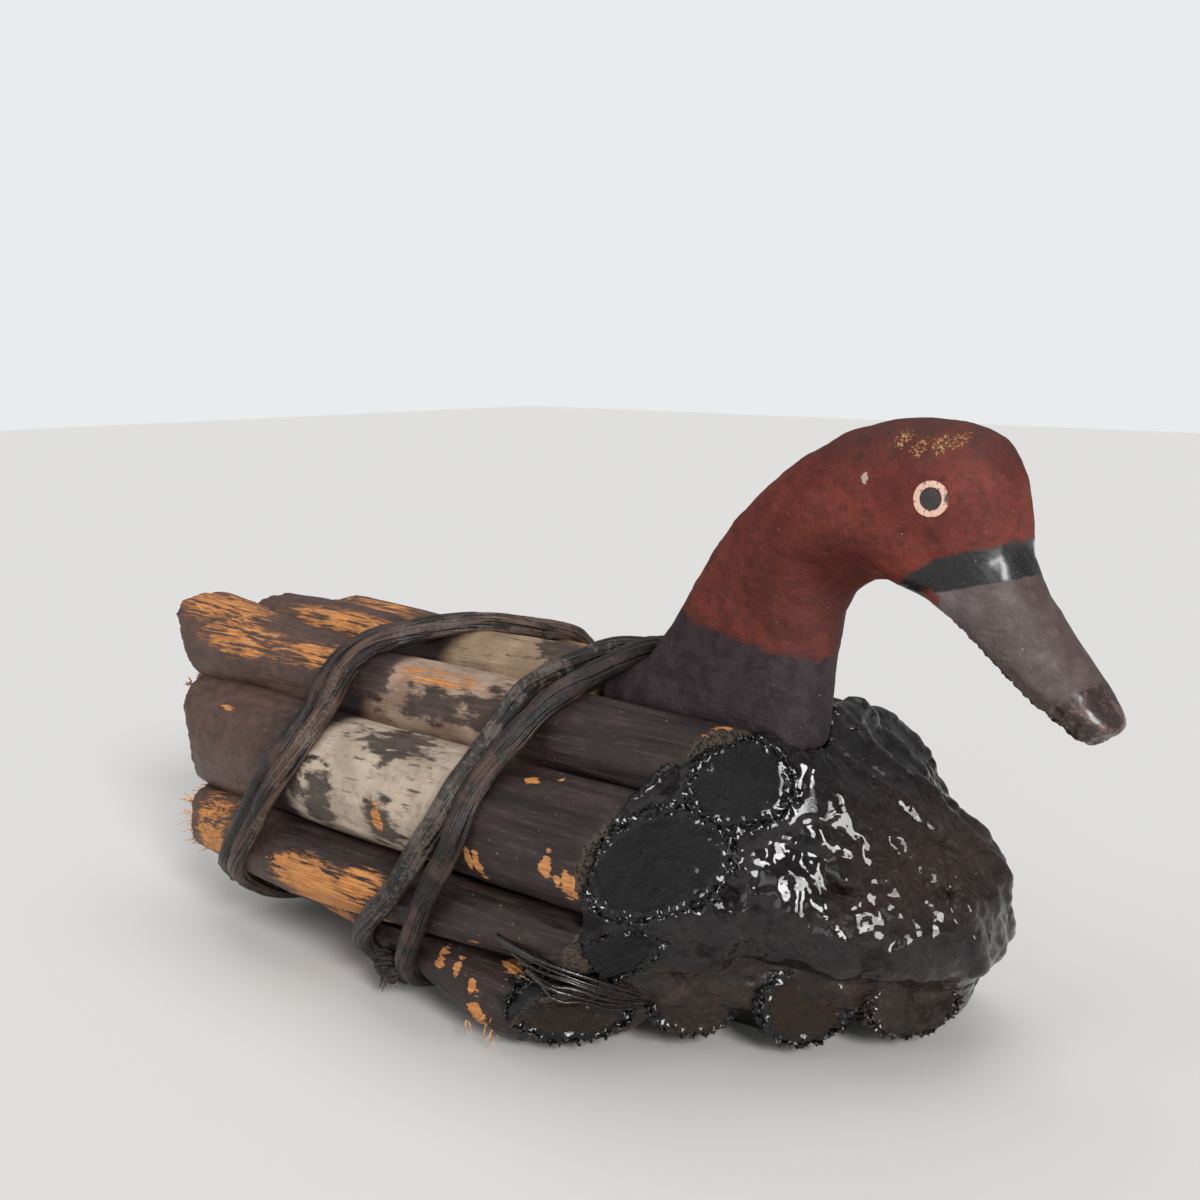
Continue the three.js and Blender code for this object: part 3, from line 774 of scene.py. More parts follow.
knock = f.group(ragged_patch, Place=place, Centre=(144.7, -18, 169.2), Radii=(1.0, 5.0, 1.5),
                Edge=fine, Rag=0.6, Soft=0.1).outputs[0]
colour = f.blend(knock, colour, (0.52, 0.40, 0.33, 1))
f.feed(f.shader.inputs["Base Color"], colour)
gloss = f.mul(band, f.math("SUBTRACT", 1.0, bill))
shine = f.either(gloss, f.mul(nail, 0.85))
shine = f.either(shine, f.mul(f.mul(bill, patch), 0.35))
f.feed(f.shader.inputs["Roughness"],
       f.math("SUBTRACT", f.math("ADD", 0.54, f.mul(fine, 0.16)), f.mul(shine, 0.34)))
f.feed(f.shader.inputs["Coat Weight"], f.mul(f.either(gloss, nail), 0.7))
f.shader.inputs["Coat Roughness"].default_value = 0.24
f.shader.inputs["Specular IOR Level"].default_value = 0.22
chisel = f.noise(place, 3.2, 3.0, 0.5)
height = f.math("ADD", f.mul(chisel, 0.7), f.math("ADD", f.mul(fine, 0.55), f.mul(brush, 0.45)))
f.feed(f.shader.inputs["Normal"], f.bump(height, 0.75))
head_paint = f.material
print(head_paint.name, "has", len(head_paint.node_tree.nodes), "nodes")

# %% [markdown]
# ### Withy bark
# Split shoots with the bark left on: brown-black, lengthwise furrows, some reddish patches
# and a grey bloom of lichen on the upper side. The pattern follows each strand through an
# attribute that is written when the strand is drawn: how far along it a point lies, and
# where on the section.

# %% Withy material
def bark_finish(name, tint, bloom):
    f = Finish(name, "withy")
    place = f.group(maker_place).outputs["Place"]
    strip = f.add("ShaderNodeMapping")
    f.feed(strip.inputs["Vector"], f.add("ShaderNodeAttribute",
                                         attribute_name="bark").outputs["Vector"])
    strip.inputs["Scale"].default_value = (0.055, 1.0, 1.0)
    furrow = f.noise(strip.outputs[0], 0.85, 5.0, 0.62, 0.2)
    groove = f.ramp(f.noise(strip.outputs[0], 2.1, 2.0, 0.5, 0.1), 0.36, 0.52)
    patch = f.group(mottle, Place=place, Size=11.0, Seed=3.0).outputs[0]
    small = f.noise(place, 1.1, 4.0, 0.7)
    colour = f.blend(f.mul(f.ramp(furrow, 0.35, 0.65), groove), (0.0065, 0.0045, 0.0042, 1), tint)
    colour = f.blend(f.mul(f.ramp(patch, 0.55, 0.9), 0.5), colour, (0.085, 0.030, 0.016, 1))
    grey = f.mul(f.ramp(f.math("ADD", small, f.mul(patch, 0.25)), 0.60, 0.74), bloom)
    colour = f.blend(grey, colour, (0.20, 0.18, 0.16, 1))
    f.feed(f.shader.inputs["Base Color"], colour)
    f.feed(f.shader.inputs["Roughness"], f.math("ADD", 0.30, f.mul(furrow, 0.30)))
    f.shader.inputs["Specular IOR Level"].default_value = 0.34
    height = f.math("ADD", f.math("ADD", f.mul(furrow, 0.6), groove), f.mul(small, 0.35))
    f.feed(f.shader.inputs["Normal"], f.bump(height, 0.9))
    return f.material


dark_bark = bark_finish("withy_bark_dark", (0.030, 0.019, 0.016, 1), 0.10)
grey_bark = bark_finish("withy_bark_grey", (0.052, 0.038, 0.030, 1), 0.45)
red_bark = bark_finish("withy_bark_red", (0.13, 0.066, 0.044, 1), 0.35)
print("bark:", dark_bark.name, grey_bark.name, red_bark.name)

# %% [markdown]
# ## The stems
# Twelve stems show. Each starts as a merged copy of its CAD solid, gets long ribs and dents
# from stretched noise, finer furrows over them, and a rough face at its cut ends, which
# take the pith finish. The tail halves swell by about a millimetre, so that the stems press
# on each other there as lashed stems do. The thirteenth, the core, stays inside.

# %% Sculpting the stems
FRONT_CUTS, TAIL_CUTS = 48, -95  # the sawn faces lie forward of one and behind the other


def sawn_faces(piece, forward, material):
    """Select the faces that look along the stems at one end and give them a pith finish."""
    piece.data.materials.append(material)
    slot = len(piece.data.materials) - 1
    for face in piece.data.polygons:
        lean = face.normal.x if forward else -face.normal.x
        x = mm(face.center)[0]
        if lean > 0.42 and (x > FRONT_CUTS if forward else x < TAIL_CUTS):
            face.material_index = slot


def sculpt_stem(node, seed):
    piece = even_faces(merged_copy(node, node + "_bark"), 1.2, 3)
    push(piece, "long dents", 2.2, 11.0, 7.0, seed * 0.31)
    push(piece, "ribs", 1.1, 3.2, 14.0, seed * 0.17)
    push(piece, "furrows", 0.5, 1.4, 16.0, seed * 0.23)
    back = min(mm(v.co)[0] for v in piece.data.vertices)
    weigh(piece, "packed", lambda x, y, z: step(-50, -90, x))
    push(piece, "packed", 2.2, BROAD, 1.0, 0.1, "packed", middle=0.0)
    weigh(piece, "ends", lambda x, y, z: step(back + 9, back + 3, x))
    push(piece, "ragged ends", 1.0, 1.6, 1.0, seed * 0.11, "ends")
    settle(piece, painted[node], node)
    sawn_faces(piece, True, tarred_pith)
    sawn_faces(piece, False, dry_pith)


for i, node in enumerate(painted):
    sculpt_stem(node, i + 1)
print(len(painted), "stems sculpted")

# %% [markdown]
# The core stem and the peg are out of sight. They keep their CAD shape and take plain pith
# and wood, in case the decoy is ever cut open.

# %% Hidden pieces
f = Finish("split_peg_wood", "peg_wood")
place = f.group(maker_place).outputs["Place"]
ring = f.group(along_grain, Place=place, Size=1.2, Stretch=0.08).outputs[0]
f.feed(f.shader.inputs["Base Color"],
       f.blend(ring, (0.30, 0.18, 0.09, 1), (0.50, 0.34, 0.18, 1)))
f.feed(f.shader.inputs["Roughness"], f.math("ADD", 0.6, f.mul(ring, 0.2)))
f.feed(f.shader.inputs["Normal"], f.bump(ring, 0.3))
peg_wood = f.material
for node, finish in (("neck_peg", peg_wood), ("stem_core", dry_pith)):
    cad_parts[node].data.materials.clear()
    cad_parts[node].data.materials.append(finish)
    print(node, "keeps its CAD shape in", finish.name)

# %% [markdown]
# ## The head
# Carved from one block: a broad blade of a neck, a rounded crown, flat cheeks, and a long
# wedge of a bill whose lower edge was left as rough as the saw cut it.

# %% Sculpting the head
head = even_faces(merged_copy("head_and_neck", "carved_head"), 0.95, 24)


def jaw(x):
    return 148.6 - 0.10 * (x - 124) - 0.45 * max(0.0, x - 143)


def throat(x, y, z):
    """Deep just under the jaw line, and run out down the neck."""
    drop = jaw(x) - z
    return step(0, 5, drop) * (1 - step(8, 30, drop)) * step(108, 127, x) * step(1, 7, abs(y))


def cheek(x, y, z):
    lift = z - jaw(x)
    return (step(-1, 4, lift) * (1 - step(7, 17, lift)) * step(120, 134, x)
            * (1 - step(160, 170, x)))


def bill_edge(x, y, z):
    along = (x - 158) * 0.83 - (z - 134) * 0.55
    below_axis = (x - 158) * -0.55 - (z - 134) * 0.83
    return step(2, 10, along) * step(-7.5, -2.5, below_axis)


weigh(head, "throat", throat)
push(head, "throat", -3.6, 60.0, 1.0, 0.1, "throat", middle=0.0)
weigh(head, "cheek", cheek)
push(head, "cheek", 1.3, 60.0, 1.0, 0.1, "cheek", middle=0.0)
weigh(head, "knife work", lambda x, y, z: step(98, 112, z))
push(head, "knife facets", 0.9, 9.0, 1.0, 0.4, "knife work")
push(head, "knife marks", 0.35, 2.4, 2.5, 0.5, "knife work")
weigh(head, "sawn edge", bill_edge)
push(head, "sawn edge", 2.2, 2.0, 1.0, 0.9, "sawn edge")
settle(head, head_paint, "head_and_neck")

# %% [markdown]
# The painted eye is a worn ring with a dark pupil. Each is a thin skin of paint: a circle
# is filled, cut into small faces, and pressed onto the head with a Shrinkwrap modifier, so
# that it follows the cheek.

# %% Eye paint materials
def enamel(name, colour, other, rough, chip):
    f = Finish(name, "head_paint")
    place = f.group(maker_place).outputs["Place"]
    fine = f.noise(place, 0.7, 4.0, 0.7)
    lost = f.group(ragged_patch, Place=place, Centre=(169.0, 0.0, 165.3), Radii=(1.5, 60.0, 1.7),
                   Edge=fine, Rag=0.5, Soft=0.15).outputs[0]
    chipped = f.either(f.ramp(fine, chip, chip + 0.05), lost)
    f.feed(f.shader.inputs["Base Color"], f.blend(chipped, colour, other))
    f.feed(f.shader.inputs["Roughness"], f.math("ADD", rough, f.mul(fine, 0.2)))
    f.feed(f.shader.inputs["Normal"], f.bump(fine, 0.2))
    return f.material


ring_paint = enamel("eye_ring_cream", (0.80, 0.52, 0.39, 1), (0.13, 0.035, 0.026, 1), 0.5, 0.56)
pupil_paint = enamel("eye_pupil_black", (0.022, 0.014, 0.014, 1), (0.08, 0.04, 0.035, 1), 0.4,
                     0.66)


# %% [markdown]
# The ring is what is left of a disc when its middle is inset and deleted; the pupil keeps
# its middle. Both spots start beside the cheek and are pressed straight onto it.

# %% Eyes
def paint_spot(name, side, material, outer, inner, lift_mm):
    leave_all()
    middle = at(164.0, side * 30.0, 165.0)
    bpy.ops.mesh.primitive_circle_add(vertices=48, radius=outer / 1000.0, fill_type="NGON",
                                      location=middle, rotation=(math.pi / 2, 0, 0))
    spot = bpy.context.object
    spot.name = spot.data.name = name
    bpy.ops.object.transform_apply(location=True, rotation=True, scale=True)
    bpy.ops.object.mode_set(mode="EDIT")
    bpy.ops.mesh.select_all(action="SELECT")
    bpy.ops.mesh.inset(thickness=(outer - inner) / 1000.0)
    if inner > 0.3 * outer:
        bpy.ops.mesh.delete(type="FACE")
    bpy.ops.mesh.select_all(action="SELECT")
    bpy.ops.mesh.subdivide(number_cuts=2)
    bpy.ops.object.mode_set(mode="OBJECT")
    press = spot.modifiers.new("press on", "SHRINKWRAP")
    press.target = head
    press.wrap_method = "PROJECT"
    press.use_project_y = True
    press.use_negative_direction = press.use_positive_direction = True
    press.offset = lift_mm / 1000.0
    skin = spot.modifiers.new("paint film", "SOLIDIFY")
    skin.thickness = 0.0004
    skin.offset = 0
    apply_all(spot)
    return settle(spot, material)


for side, word in ((-1, "right"), (1, "left")):
    paint_spot("eye_ring_" + word, side, ring_paint, 4.6, 2.95, 0.12)
    paint_spot("eye_pupil_" + word, side, pupil_paint, 2.75, 0.2, 0.10)

# %% [markdown]
# ## The tar
# The coat is remeshed fine, then pushed out into a belly, in at its lower lip, and into
# lumps, runs, long folds and deep pits. On the right, the sawn ends of three stems show
# through it as flat ovals with a raised, ragged rim: two vertex groups, one for the ovals
# and one for their rims, steer where it sinks and where it rises.

# %% Sculpting the tar
# The ovals: centre y and z, half width and half height.
ENDS = [(-26.5, 83.5, 15.5, 13.5), (-47.0, 62.0, 19.5, 18.0), (-52.0, 33.5, 13.0, 9.0)]
# The pits: x, y, z, radius and depth.
PITS = [(135.0, -8.5, 56.0, 3.6, 7.0), (147.0, -1.0, 42.0, 3.2, 6.0),
        (146.0, 26.0, 62.0, 3.4, 6.0), (154.0, 15.5, 51.5, 3.2, 6.0),
        (124.0, 20.5, 83.0, 3.0, 4.0), (131.0, -20.0, 37.0, 3.0, 4.5),
        (112.0, -30.0, 52.0, 3.0, 5.0), (140.0, 8.0, 70.0, 3.0, 5.0)]


def oval(y, z, ends):
    """How far from the nearest sawn end, as a share of its radius."""
    return min(math.hypot((y - cy) / wide, (z - cz) / tall) for cy, cz, wide, tall in ends)


def ring(reach, middle=0.93, wide=0.13):
    return math.exp(-((reach - middle) / wide) ** 4)


def fold(x, y, z):
    """Long creases that run down from the neck to the low left of the breast."""
    lean = (y - 6.0) + 0.55 * (z - 60.0)
    return math.sin(lean * 0.42 + 1.6 * math.sin(z * 0.07)) * step(2.0, 16.0, y)


tar = even_faces(merged_copy("breast_tar", "tar_coat"), 0.78, 9)
weigh(tar, "open", lambda x, y, z: step(1.03, 1.35, oval(y, z, ENDS)) * step(12, 20, z))
weigh(tar, "folds", lambda x, y, z: max(0.0, fold(x, y, z)) * step(14, 30, z))
weigh(tar, "rims", lambda x, y, z: ring(oval(y, z, ENDS)))
weigh(tar, "discs", lambda x, y, z: 1.0 - step(0.74, 0.84, oval(y, z, ENDS)))
weigh(tar, "belly", lambda x, y, z: (math.exp(-((y + 3) / 26) ** 2 - ((z - 38) / 14) ** 2)
                                     * step(22, 34, z)))
weigh(tar, "lip", lambda x, y, z: math.exp(-((z - 17) / 7.5) ** 2) * step(28, 14, y))
weigh(tar, "hollow", lambda x, y, z: (math.exp(-((y + 2) / 20) ** 2 - ((z - 70) / 13) ** 2)
                                      * step(1.0, 1.5, oval(y, z, ENDS))))
push(tar, "belly", 7.0, BROAD, 1.0, 0.1, "belly", middle=0.0)
push(tar, "lip", -7.0, BROAD, 1.0, 0.1, "lip", middle=0.0)
push(tar, "hollow", -5.0, BROAD, 1.0, 0.1, "hollow", middle=0.0)
push(tar, "big lumps", 5.0, 24.0, 1.0, 0.2, "open", middle=0.45, fine=0)
push(tar, "small lumps", 1.7, 7.0, 1.0, 0.6, "open", fine=1)
push(tar, "runs", 0.9, 2.8, 1.6, 0.8, "open", fine=1)
for i, (px, py, pz, radius, depth) in enumerate(PITS):
    weigh(tar, f"pit {i}", lambda x, y, z: math.exp(
        -(math.dist((x, y, z), (px, py, pz)) / radius) ** 2))
    push(tar, f"pit {i}", -depth, 60.0, 1.0, 0.1, f"pit {i}", middle=0.0)
push(tar, "folds", 2.6, 9.0, 1.0, 0.7, "folds", middle=-0.2)
push(tar, "raised rims", 3.0, 4.0, 1.0, 0.3, "rims", middle=0.0)
push(tar, "pitted rims", -4.6, 2.2, 1.0, 0.3, "rims", kind="VORONOI", middle=0.0)
push(tar, "sunk discs", -1.6, 6.0, 1.0, 0.5, "discs", middle=0.0)
mark(tar, "sawn", lambda x, y, z: 1.0 - step(0.74, 0.86, oval(y, z, ENDS)))
mark(tar, "rim", lambda x, y, z: ring(oval(y, z, ENDS)))
settle(tar, glossy_tar, "breast_tar", smooth_angle=180)

# %% [markdown]
# Below the coat, the low stems were dipped on their own. A sleeve cut from the front of
# each stem's CAD solid and grown outward carries the tar back along the stem.

# %% Dipped ends of the low stems
SLEEVES = {"stem_low_right": 12.0, "stem_low_middle_right": 16.0, "stem_low_middle": 16.0,
           "stem_low_middle_left": 16.0, "stem_low_left": 12.0}
COAT = 0.0014  # metres of tar over the bark


def dipped_sleeve(node, depth_mm, seed):
    piece = merged_copy(node, node + "_dipped_end")
    front = max(v.co.x for v in piece.data.vertices if v.co.z < 0.016)
    bpy.ops.object.mode_set(mode="EDIT")
    bpy.ops.mesh.select_all(action="SELECT")
    bpy.ops.mesh.bisect(plane_co=(front - depth_mm / 1000.0, 0, 0), plane_no=(1, 0, 0.25),
                        use_fill=True, clear_inner=True)
    bpy.ops.object.mode_set(mode="OBJECT")
    grow = piece.modifiers.new("grow", "DISPLACE")
    grow.strength = COAT
    grow.mid_level = 0.0
    even_faces(piece, 0.75, 4)
    push(piece, "crust", 1.8, 5.0, 1.0, seed * 0.1)
    return settle(piece, glossy_tar, smooth_angle=180)


for seed, (node, depth) in enumerate(SLEEVES.items()):
    dipped_sleeve(node, depth, seed + 1)

# %% [markdown]
# Each sawn end that faces the right is a pad: a flat brown oval inside a raised ring of
# tarred fibre ends. It is remeshed from a squashed cylinder and turned to the cut's own
# facing. As a piece of its own it stands a little proud of the stem, where the lip of the
# tar can't bury it.

# %% Sawn ends with a ring of tarred fibre
def sawn_pad(name, centre, facing, wide, tall, deep, seed, shown=1.0):
    """An oval, `wide` by `tall` in half sizes, that looks along `facing`. The tar leaves
    as much of its brown face bare as `shown` says."""
    bpy.ops.mesh.primitive_cylinder_add(vertices=56, radius=1, depth=2)
    piece = bpy.context.object
    piece.name = name
    out = Vector(facing).normalized()
    side = Vector((0, 0, 1)).cross(out).normalized()
    up = out.cross(side)
    for v in piece.data.vertices:
        shape = side * (v.co.x * wide) + up * (v.co.y * tall) + out * (v.co.z * deep)
        v.co = Vector(at(*(Vector(centre) + shape)))
    even_faces(piece, 0.6, 3)

    def reach(x, y, z):
        apart = Vector((x, y, z)) - Vector(centre)
        return math.hypot(apart.dot(side) / wide, apart.dot(up) / tall)

    weigh(piece, "rims", lambda x, y, z: ring(reach(x, y, z), 0.93, 0.17))
    weigh(piece, "disc", lambda x, y, z: 1.0 - step(0.66, 0.80, reach(x, y, z)))
    push(piece, "raised rims", 2.6, 3.4, 1.0, seed * 0.3, "rims", middle=0.1)
    push(piece, "pitted rims", -4.2, 2.0, 1.0, seed * 0.2, "rims", kind="VORONOI", middle=0.0)
    push(piece, "sunk disc", -1.0, 9.0, 1.0, seed * 0.2, "disc", middle=0.0)
    push(piece, "pith", 0.5, 2.2, 1.0, seed * 0.4, "disc")
    mark(piece, "sawn", lambda x, y, z: shown * (1.0 - step(0.66, 0.78, reach(x, y, z))))
    mark(piece, "rim", lambda x, y, z: shown * step(0.68, 0.80, reach(x, y, z)))
    return settle(piece, tarred_end, smooth_angle=180)


sawn_pad("sawn_end_low_right", (70.0, -50.5, 15.6), (0.74, -0.64, 0.02), 20.0, 12.2, 3.4, 1)
sawn_pad("sawn_end_low_middle_right", (95.5, -26.5, 14.6), (0.76, -0.62, 0.0), 14.0, 9.8, 3.4, 2,
         shown=0.6)
sawn_pad("sawn_end_low_middle", (121.5, -8.5, 16.4), (0.78, -0.60, 0.02), 15.0, 12.6, 3.4, 3)
sawn_pad("sawn_end_low_middle_left", (140.5, 17.0, 15.0), (0.88, -0.46, 0.05), 16.5, 11.0, 4.5, 4,
         shown=0.25)

# %% [markdown]
# ## The withies
# Each binding is two split shoots laid side by side. A strand is tight, so its path is the
# convex outline of everything inside it. Rays are cast inward from all round, at the
# strand's own slant, and the outline of their hits is pushed out by the strand's radius.

# %% Finding a tight path
inside = ["stem_core", "head_and_neck"] + list(painted)
verts, faces = [], []
for node in inside:
    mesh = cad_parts[node].data
    faces += [[len(verts) + i for i in face.vertices] for face in mesh.polygons]
    verts += [v.co.copy() for v in mesh.vertices]
bundle = BVHTree.FromPolygons(verts, faces)
print("the withies go round", len(inside), "pieces")


def station(turns, angle):
    """The strand's x at an angle, smoothly between the given turns."""
    row = turns + [(turns[0][0] + 360.0, turns[0][1])]
    a = (angle - turns[0][0]) % 360.0 + turns[0][0]
    for (a0, x0), (a1, x1) in zip(row, row[1:]):
        if a0 <= a <= a1:
            return x0 + (x1 - x0) * (0.5 * (a - a0) / (a1 - a0) + 0.5 * step(a0, a1, a))
    return turns[0][1]


def tight_path(turns, radius, count=90):
    spots = []
    degrees = [(270.0 + 360.0 * i / count) % 360.0 for i in range(count)]
    for turn in degrees:
        angle = math.radians(turn)
        x = station(turns, turn)
        out = Vector((0, -math.cos(angle), math.sin(angle)))
        middle = at(x, 0, 55)
        hit = bundle.ray_cast(middle + out * 0.2, -out)[0]
        spots.append(Vector(((hit - middle).y, (hit - middle).z)))
    order = geometry.convex_hull_2d(spots)
    hull = [spots[i] for i in order]
    path = []
    for turn in degrees:
        angle = math.radians(turn)
        ray = Vector((-math.cos(angle), math.sin(angle)))
        reach = 0.0
        for a, b in zip(hull, hull[1:] + hull[:1]):
            cross = geometry.intersect_line_line_2d(Vector((0, 0)), ray * 0.3, a, b)
            if cross:
                reach = max(reach, cross.length)
        flat = ray * (reach + radius / 1000.0)
        place = at(station(turns, turn), 0, 55)
        path.append(place + Vector((0, flat.x, flat.y)))
    for _ in range(2):
        path = [(path[i - 1] + path[i] * 2 + path[(i + 1) % count]) / 4 for i in range(count)]
    for spot in path:
        spot.z = max(spot.z, (radius + 0.15) / 1000.0)
    return path


# %% [markdown]
# A strand is a curve with a lobed section, so that furrows run along it, and a slow tilt
# that twists them. It is turned into a mesh, and its bark is roughened.

# %% Drawing a strand
SECTION_POINTS = 28


def lobed_section(name, radius, lobes=((2, 0.06), (5, 0.05), (9, 0.035))):
    section = bpy.data.curves.new(name, "CURVE")
    line = section.splines.new("POLY")
    line.points.add(SECTION_POINTS - 1)
    for i, point in enumerate(line.points):
        a = 2 * math.pi * i / SECTION_POINTS
        r = radius / 1000.0 * (1 + sum(k * math.cos(n * a + n) for n, k in lobes))
        point.co = (r * math.cos(a), r * math.sin(a), 0, 1)
    line.use_cyclic_u = True
    made = bpy.data.objects.new(name, section)
    bpy.context.scene.collection.objects.link(made)
    return made


def strand(name, path, radius, twist=0.07, closed=True, taper=None, seed=1):
    rnd = random.Random(seed)
    curve = bpy.data.curves.new(name, "CURVE")
    curve.dimensions = "3D"
    line = curve.splines.new("NURBS")
    line.points.add(len(path) - 1)
    line.order_u = 4
    line.use_endpoint_u = not closed
    line.use_cyclic_u = closed
    for i, (point, spot) in enumerate(zip(line.points, path)):
        point.co = (*spot, 1)
        point.tilt = twist * i
        point.radius = 1 + rnd.uniform(-0.07, 0.07)
        if taper:
            point.radius *= taper(i / (len(path) - 1))
    curve.resolution_u = 4
    section = lobed_section(name + "_section", radius)
    curve.bevel_mode = "OBJECT"
    curve.bevel_object = section
    curve.use_fill_caps = not closed
    piece = bpy.data.objects.new(name, curve)
    bpy.context.scene.collection.objects.link(piece)
    take(piece)
    bpy.ops.object.convert(target="MESH")
    bpy.data.objects.remove(section)
    piece = bpy.context.object
    note_bark(piece, radius)
    close_up(0.01, outward=True)
    return piece


def note_bark(piece, radius):
    """Write at each point how far along the strand it lies, and where on the section."""
    rows = piece.data.attributes.new("bark", "FLOAT_VECTOR", "POINT")
    run, last = 0.0, None
    for first in range(0, len(piece.data.vertices) - SECTION_POINTS + 1, SECTION_POINTS):
        spots = [piece.data.vertices[first + k].co for k in range(SECTION_POINTS)]
        middle = sum(spots, Vector()) / SECTION_POINTS
        run += (middle - last).length * 1000 if last else 0.0
        last = middle
        for k in range(SECTION_POINTS):
            a = 2 * math.pi * k / SECTION_POINTS
            rows.data[first + k].vector = (run, radius * math.cos(a), radius * math.sin(a))


# %% [markdown]
# Where each binding crosses is a short list of angles and distances. An angle of 0 is the
# right side, 90 the top, 180 the left and 270 the underside.

# %% Bindings
TURNS = {
    "front_withy_a": [(-38, -16), (-33, -13), (-5, 22), (13, 38), (33, 39), (50, 38), (64, 38),
                      (82, 40), (94, 42), (130, 45), (180, 38), (215, 22), (250, 2), (290, -16)],
    "front_withy_b": [(-38, 8), (-11, 29), (7, 44), (23, 45), (34, 47), (47, 50), (62, 53),
                      (78, 55), (90, 56), (130, 55), (180, 46), (215, 33), (250, 16),
                      (290, 3)],
    "rear_withy_a": [(-38, -87), (1, -52), (15, -36), (29, -35), (44, -40), (59, -39), (70, -36),
                     (82, -28), (90, -20), (105, -14), (120, -9), (180, -16), (215, -32),
                     (250, -58), (290, -87)],
    "rear_withy_b": [(-38, -94), (1, -59), (15, -43), (29, -42), (44, -47), (59, -46), (70, -43),
                     (82, -35), (90, -27), (105, -21), (120, -16), (180, -23), (215, -39),
                     (250, -65), (290, -95)],
}
BARK = {"front_withy_a": (grey_bark, 3.4), "front_withy_b": (dark_bark, 3.5),
        "rear_withy_a": (red_bark, 3.3), "rear_withy_b": (dark_bark, 3.1)}
for node, turns in TURNS.items():
    finish, radius = BARK[node]
    path = tight_path(turns, radius - 0.35)
    piece = strand(node + "_strand", path, radius, seed=len(node) + ord(node[-1]))
    push(piece, "bark lumps", 0.45, 5.0, 1.0, 0.3)
    settle(piece, finish, node, smooth_angle=60)

# %% [markdown]
# The ends of each withy are wound round each other under the right side, cut off short, and
# a few stripped fibres hang from the front one.

# %% Wound ends
def wound_end(node, a, b, radius, wind, turns, finish):
    """Two cut shoots wound round the line from `a` to `b`."""
    run = b - a
    side = run.cross(Vector((0, 0, 1))).normalized()
    rise = side.cross(run).normalized()
    parts = []
    for half in (0, 1):
        path = []
        for i in range(18):
            t = i / 17
            angle = turns * 2 * math.pi * t + math.pi * half
            spin = (side * math.cos(angle) + rise * math.sin(angle)) * wind / 1000.0
            path.append(a + run * t + spin)
        parts.append(strand(f"{node}_end_{half}", path, radius, 0.3, False,
                            lambda t: 0.75 + 0.35 * math.sin(math.pi * t), seed=half + 3))
    leave_all()
    for part in parts:
        part.select_set(True)
    bpy.context.view_layer.objects.active = parts[0]
    bpy.ops.object.join()
    piece = bpy.context.object
    piece.name = piece.data.name = node + "_wound"
    push(piece, "bark lumps", 0.9, 2.2, 1.0, 0.5)
    return settle(piece, finish, node, smooth_angle=60)


wound_end("front_withy_twist", at(-4, -58.5, 12.5), at(7.5, -60, 10.0), 2.5, 2.3, 1.2, dark_bark)
wound_end("rear_withy_twist", at(-84, -50.5, 18.0), at(-103.5, -45.5, 20.0), 2.1, 1.7, 1.6,
          dark_bark)

# %% [markdown]
# ## Frayed fibres
# Sawn and torn stems end in fibres. A fibre is a thin tapering curve with a few faces, bent
# by a random lean, and each tuft is one curve object turned into one mesh. The seeds are
# fixed, so the fibres fall the same way every time.

# %% Fibre materials
def fibre_finish(name, slot, deep, light, rough):
    f = Finish(name, slot)
    place = f.group(maker_place).outputs["Place"]
    tone = f.noise(place, 1.3, 3.0, 0.6)
    f.feed(f.shader.inputs["Base Color"], f.blend(f.ramp(tone, 0.35, 0.65), deep, light))
    f.feed(f.shader.inputs["Roughness"], f.math("ADD", rough, f.mul(tone, 0.2)))
    f.feed(f.shader.inputs["Normal"], f.bump(tone, 0.2))
    return f.material


tan_fibre = fibre_finish("torn_fibre_tan", "bare_stem", (0.42, 0.15, 0.04, 1),
                         (0.85, 0.46, 0.16, 1), 0.55)
rust_fibre = fibre_finish("torn_bark_rust", "bare_stem", (0.10, 0.030, 0.012, 1),
                          (0.36, 0.11, 0.035, 1), 0.5)
tarred_fibre = fibre_finish("tarred_fibre", "tar", (0.004, 0.003, 0.003, 1),
                            (0.020, 0.013, 0.012, 1), 0.16)
print("fibres:", tan_fibre.name, rust_fibre.name, tarred_fibre.name)


# %% [markdown]
# A tuft is a list of paths. Each path takes three steps from its root, and each step leans a
# little away from the one before it, as a dry fibre curls.

# %% Drawing fibres
def fibres(name, finish, rows, sides=0):
    """Each row is a list of points in the maker's measure and a root radius in mm."""
    curve = bpy.data.curves.new(name, "CURVE")
    curve.dimensions = "3D"
    curve.bevel_depth = 0.001
    curve.bevel_resolution = sides
    curve.resolution_u = 2
    curve.use_fill_caps = True
    for path, radius in rows:
        line = curve.splines.new("NURBS")
        line.points.add(len(path) - 1)
        line.order_u = 3
        line.use_endpoint_u = True
        for i, (point, spot) in enumerate(zip(line.points, path)):
            spot = (spot[0], spot[1], max(spot[2], radius + 0.1))
            point.co = (*at(*spot), 1)
            point.radius = radius * (1.0 - 0.75 * i / (len(path) - 1))
    piece = bpy.data.objects.new(name, curve)
    bpy.context.scene.collection.objects.link(piece)
    take(piece)
    bpy.ops.object.convert(target="MESH")
    close_up(0.001, outward=True)
    return settle(bpy.context.object, finish, smooth_angle=80)


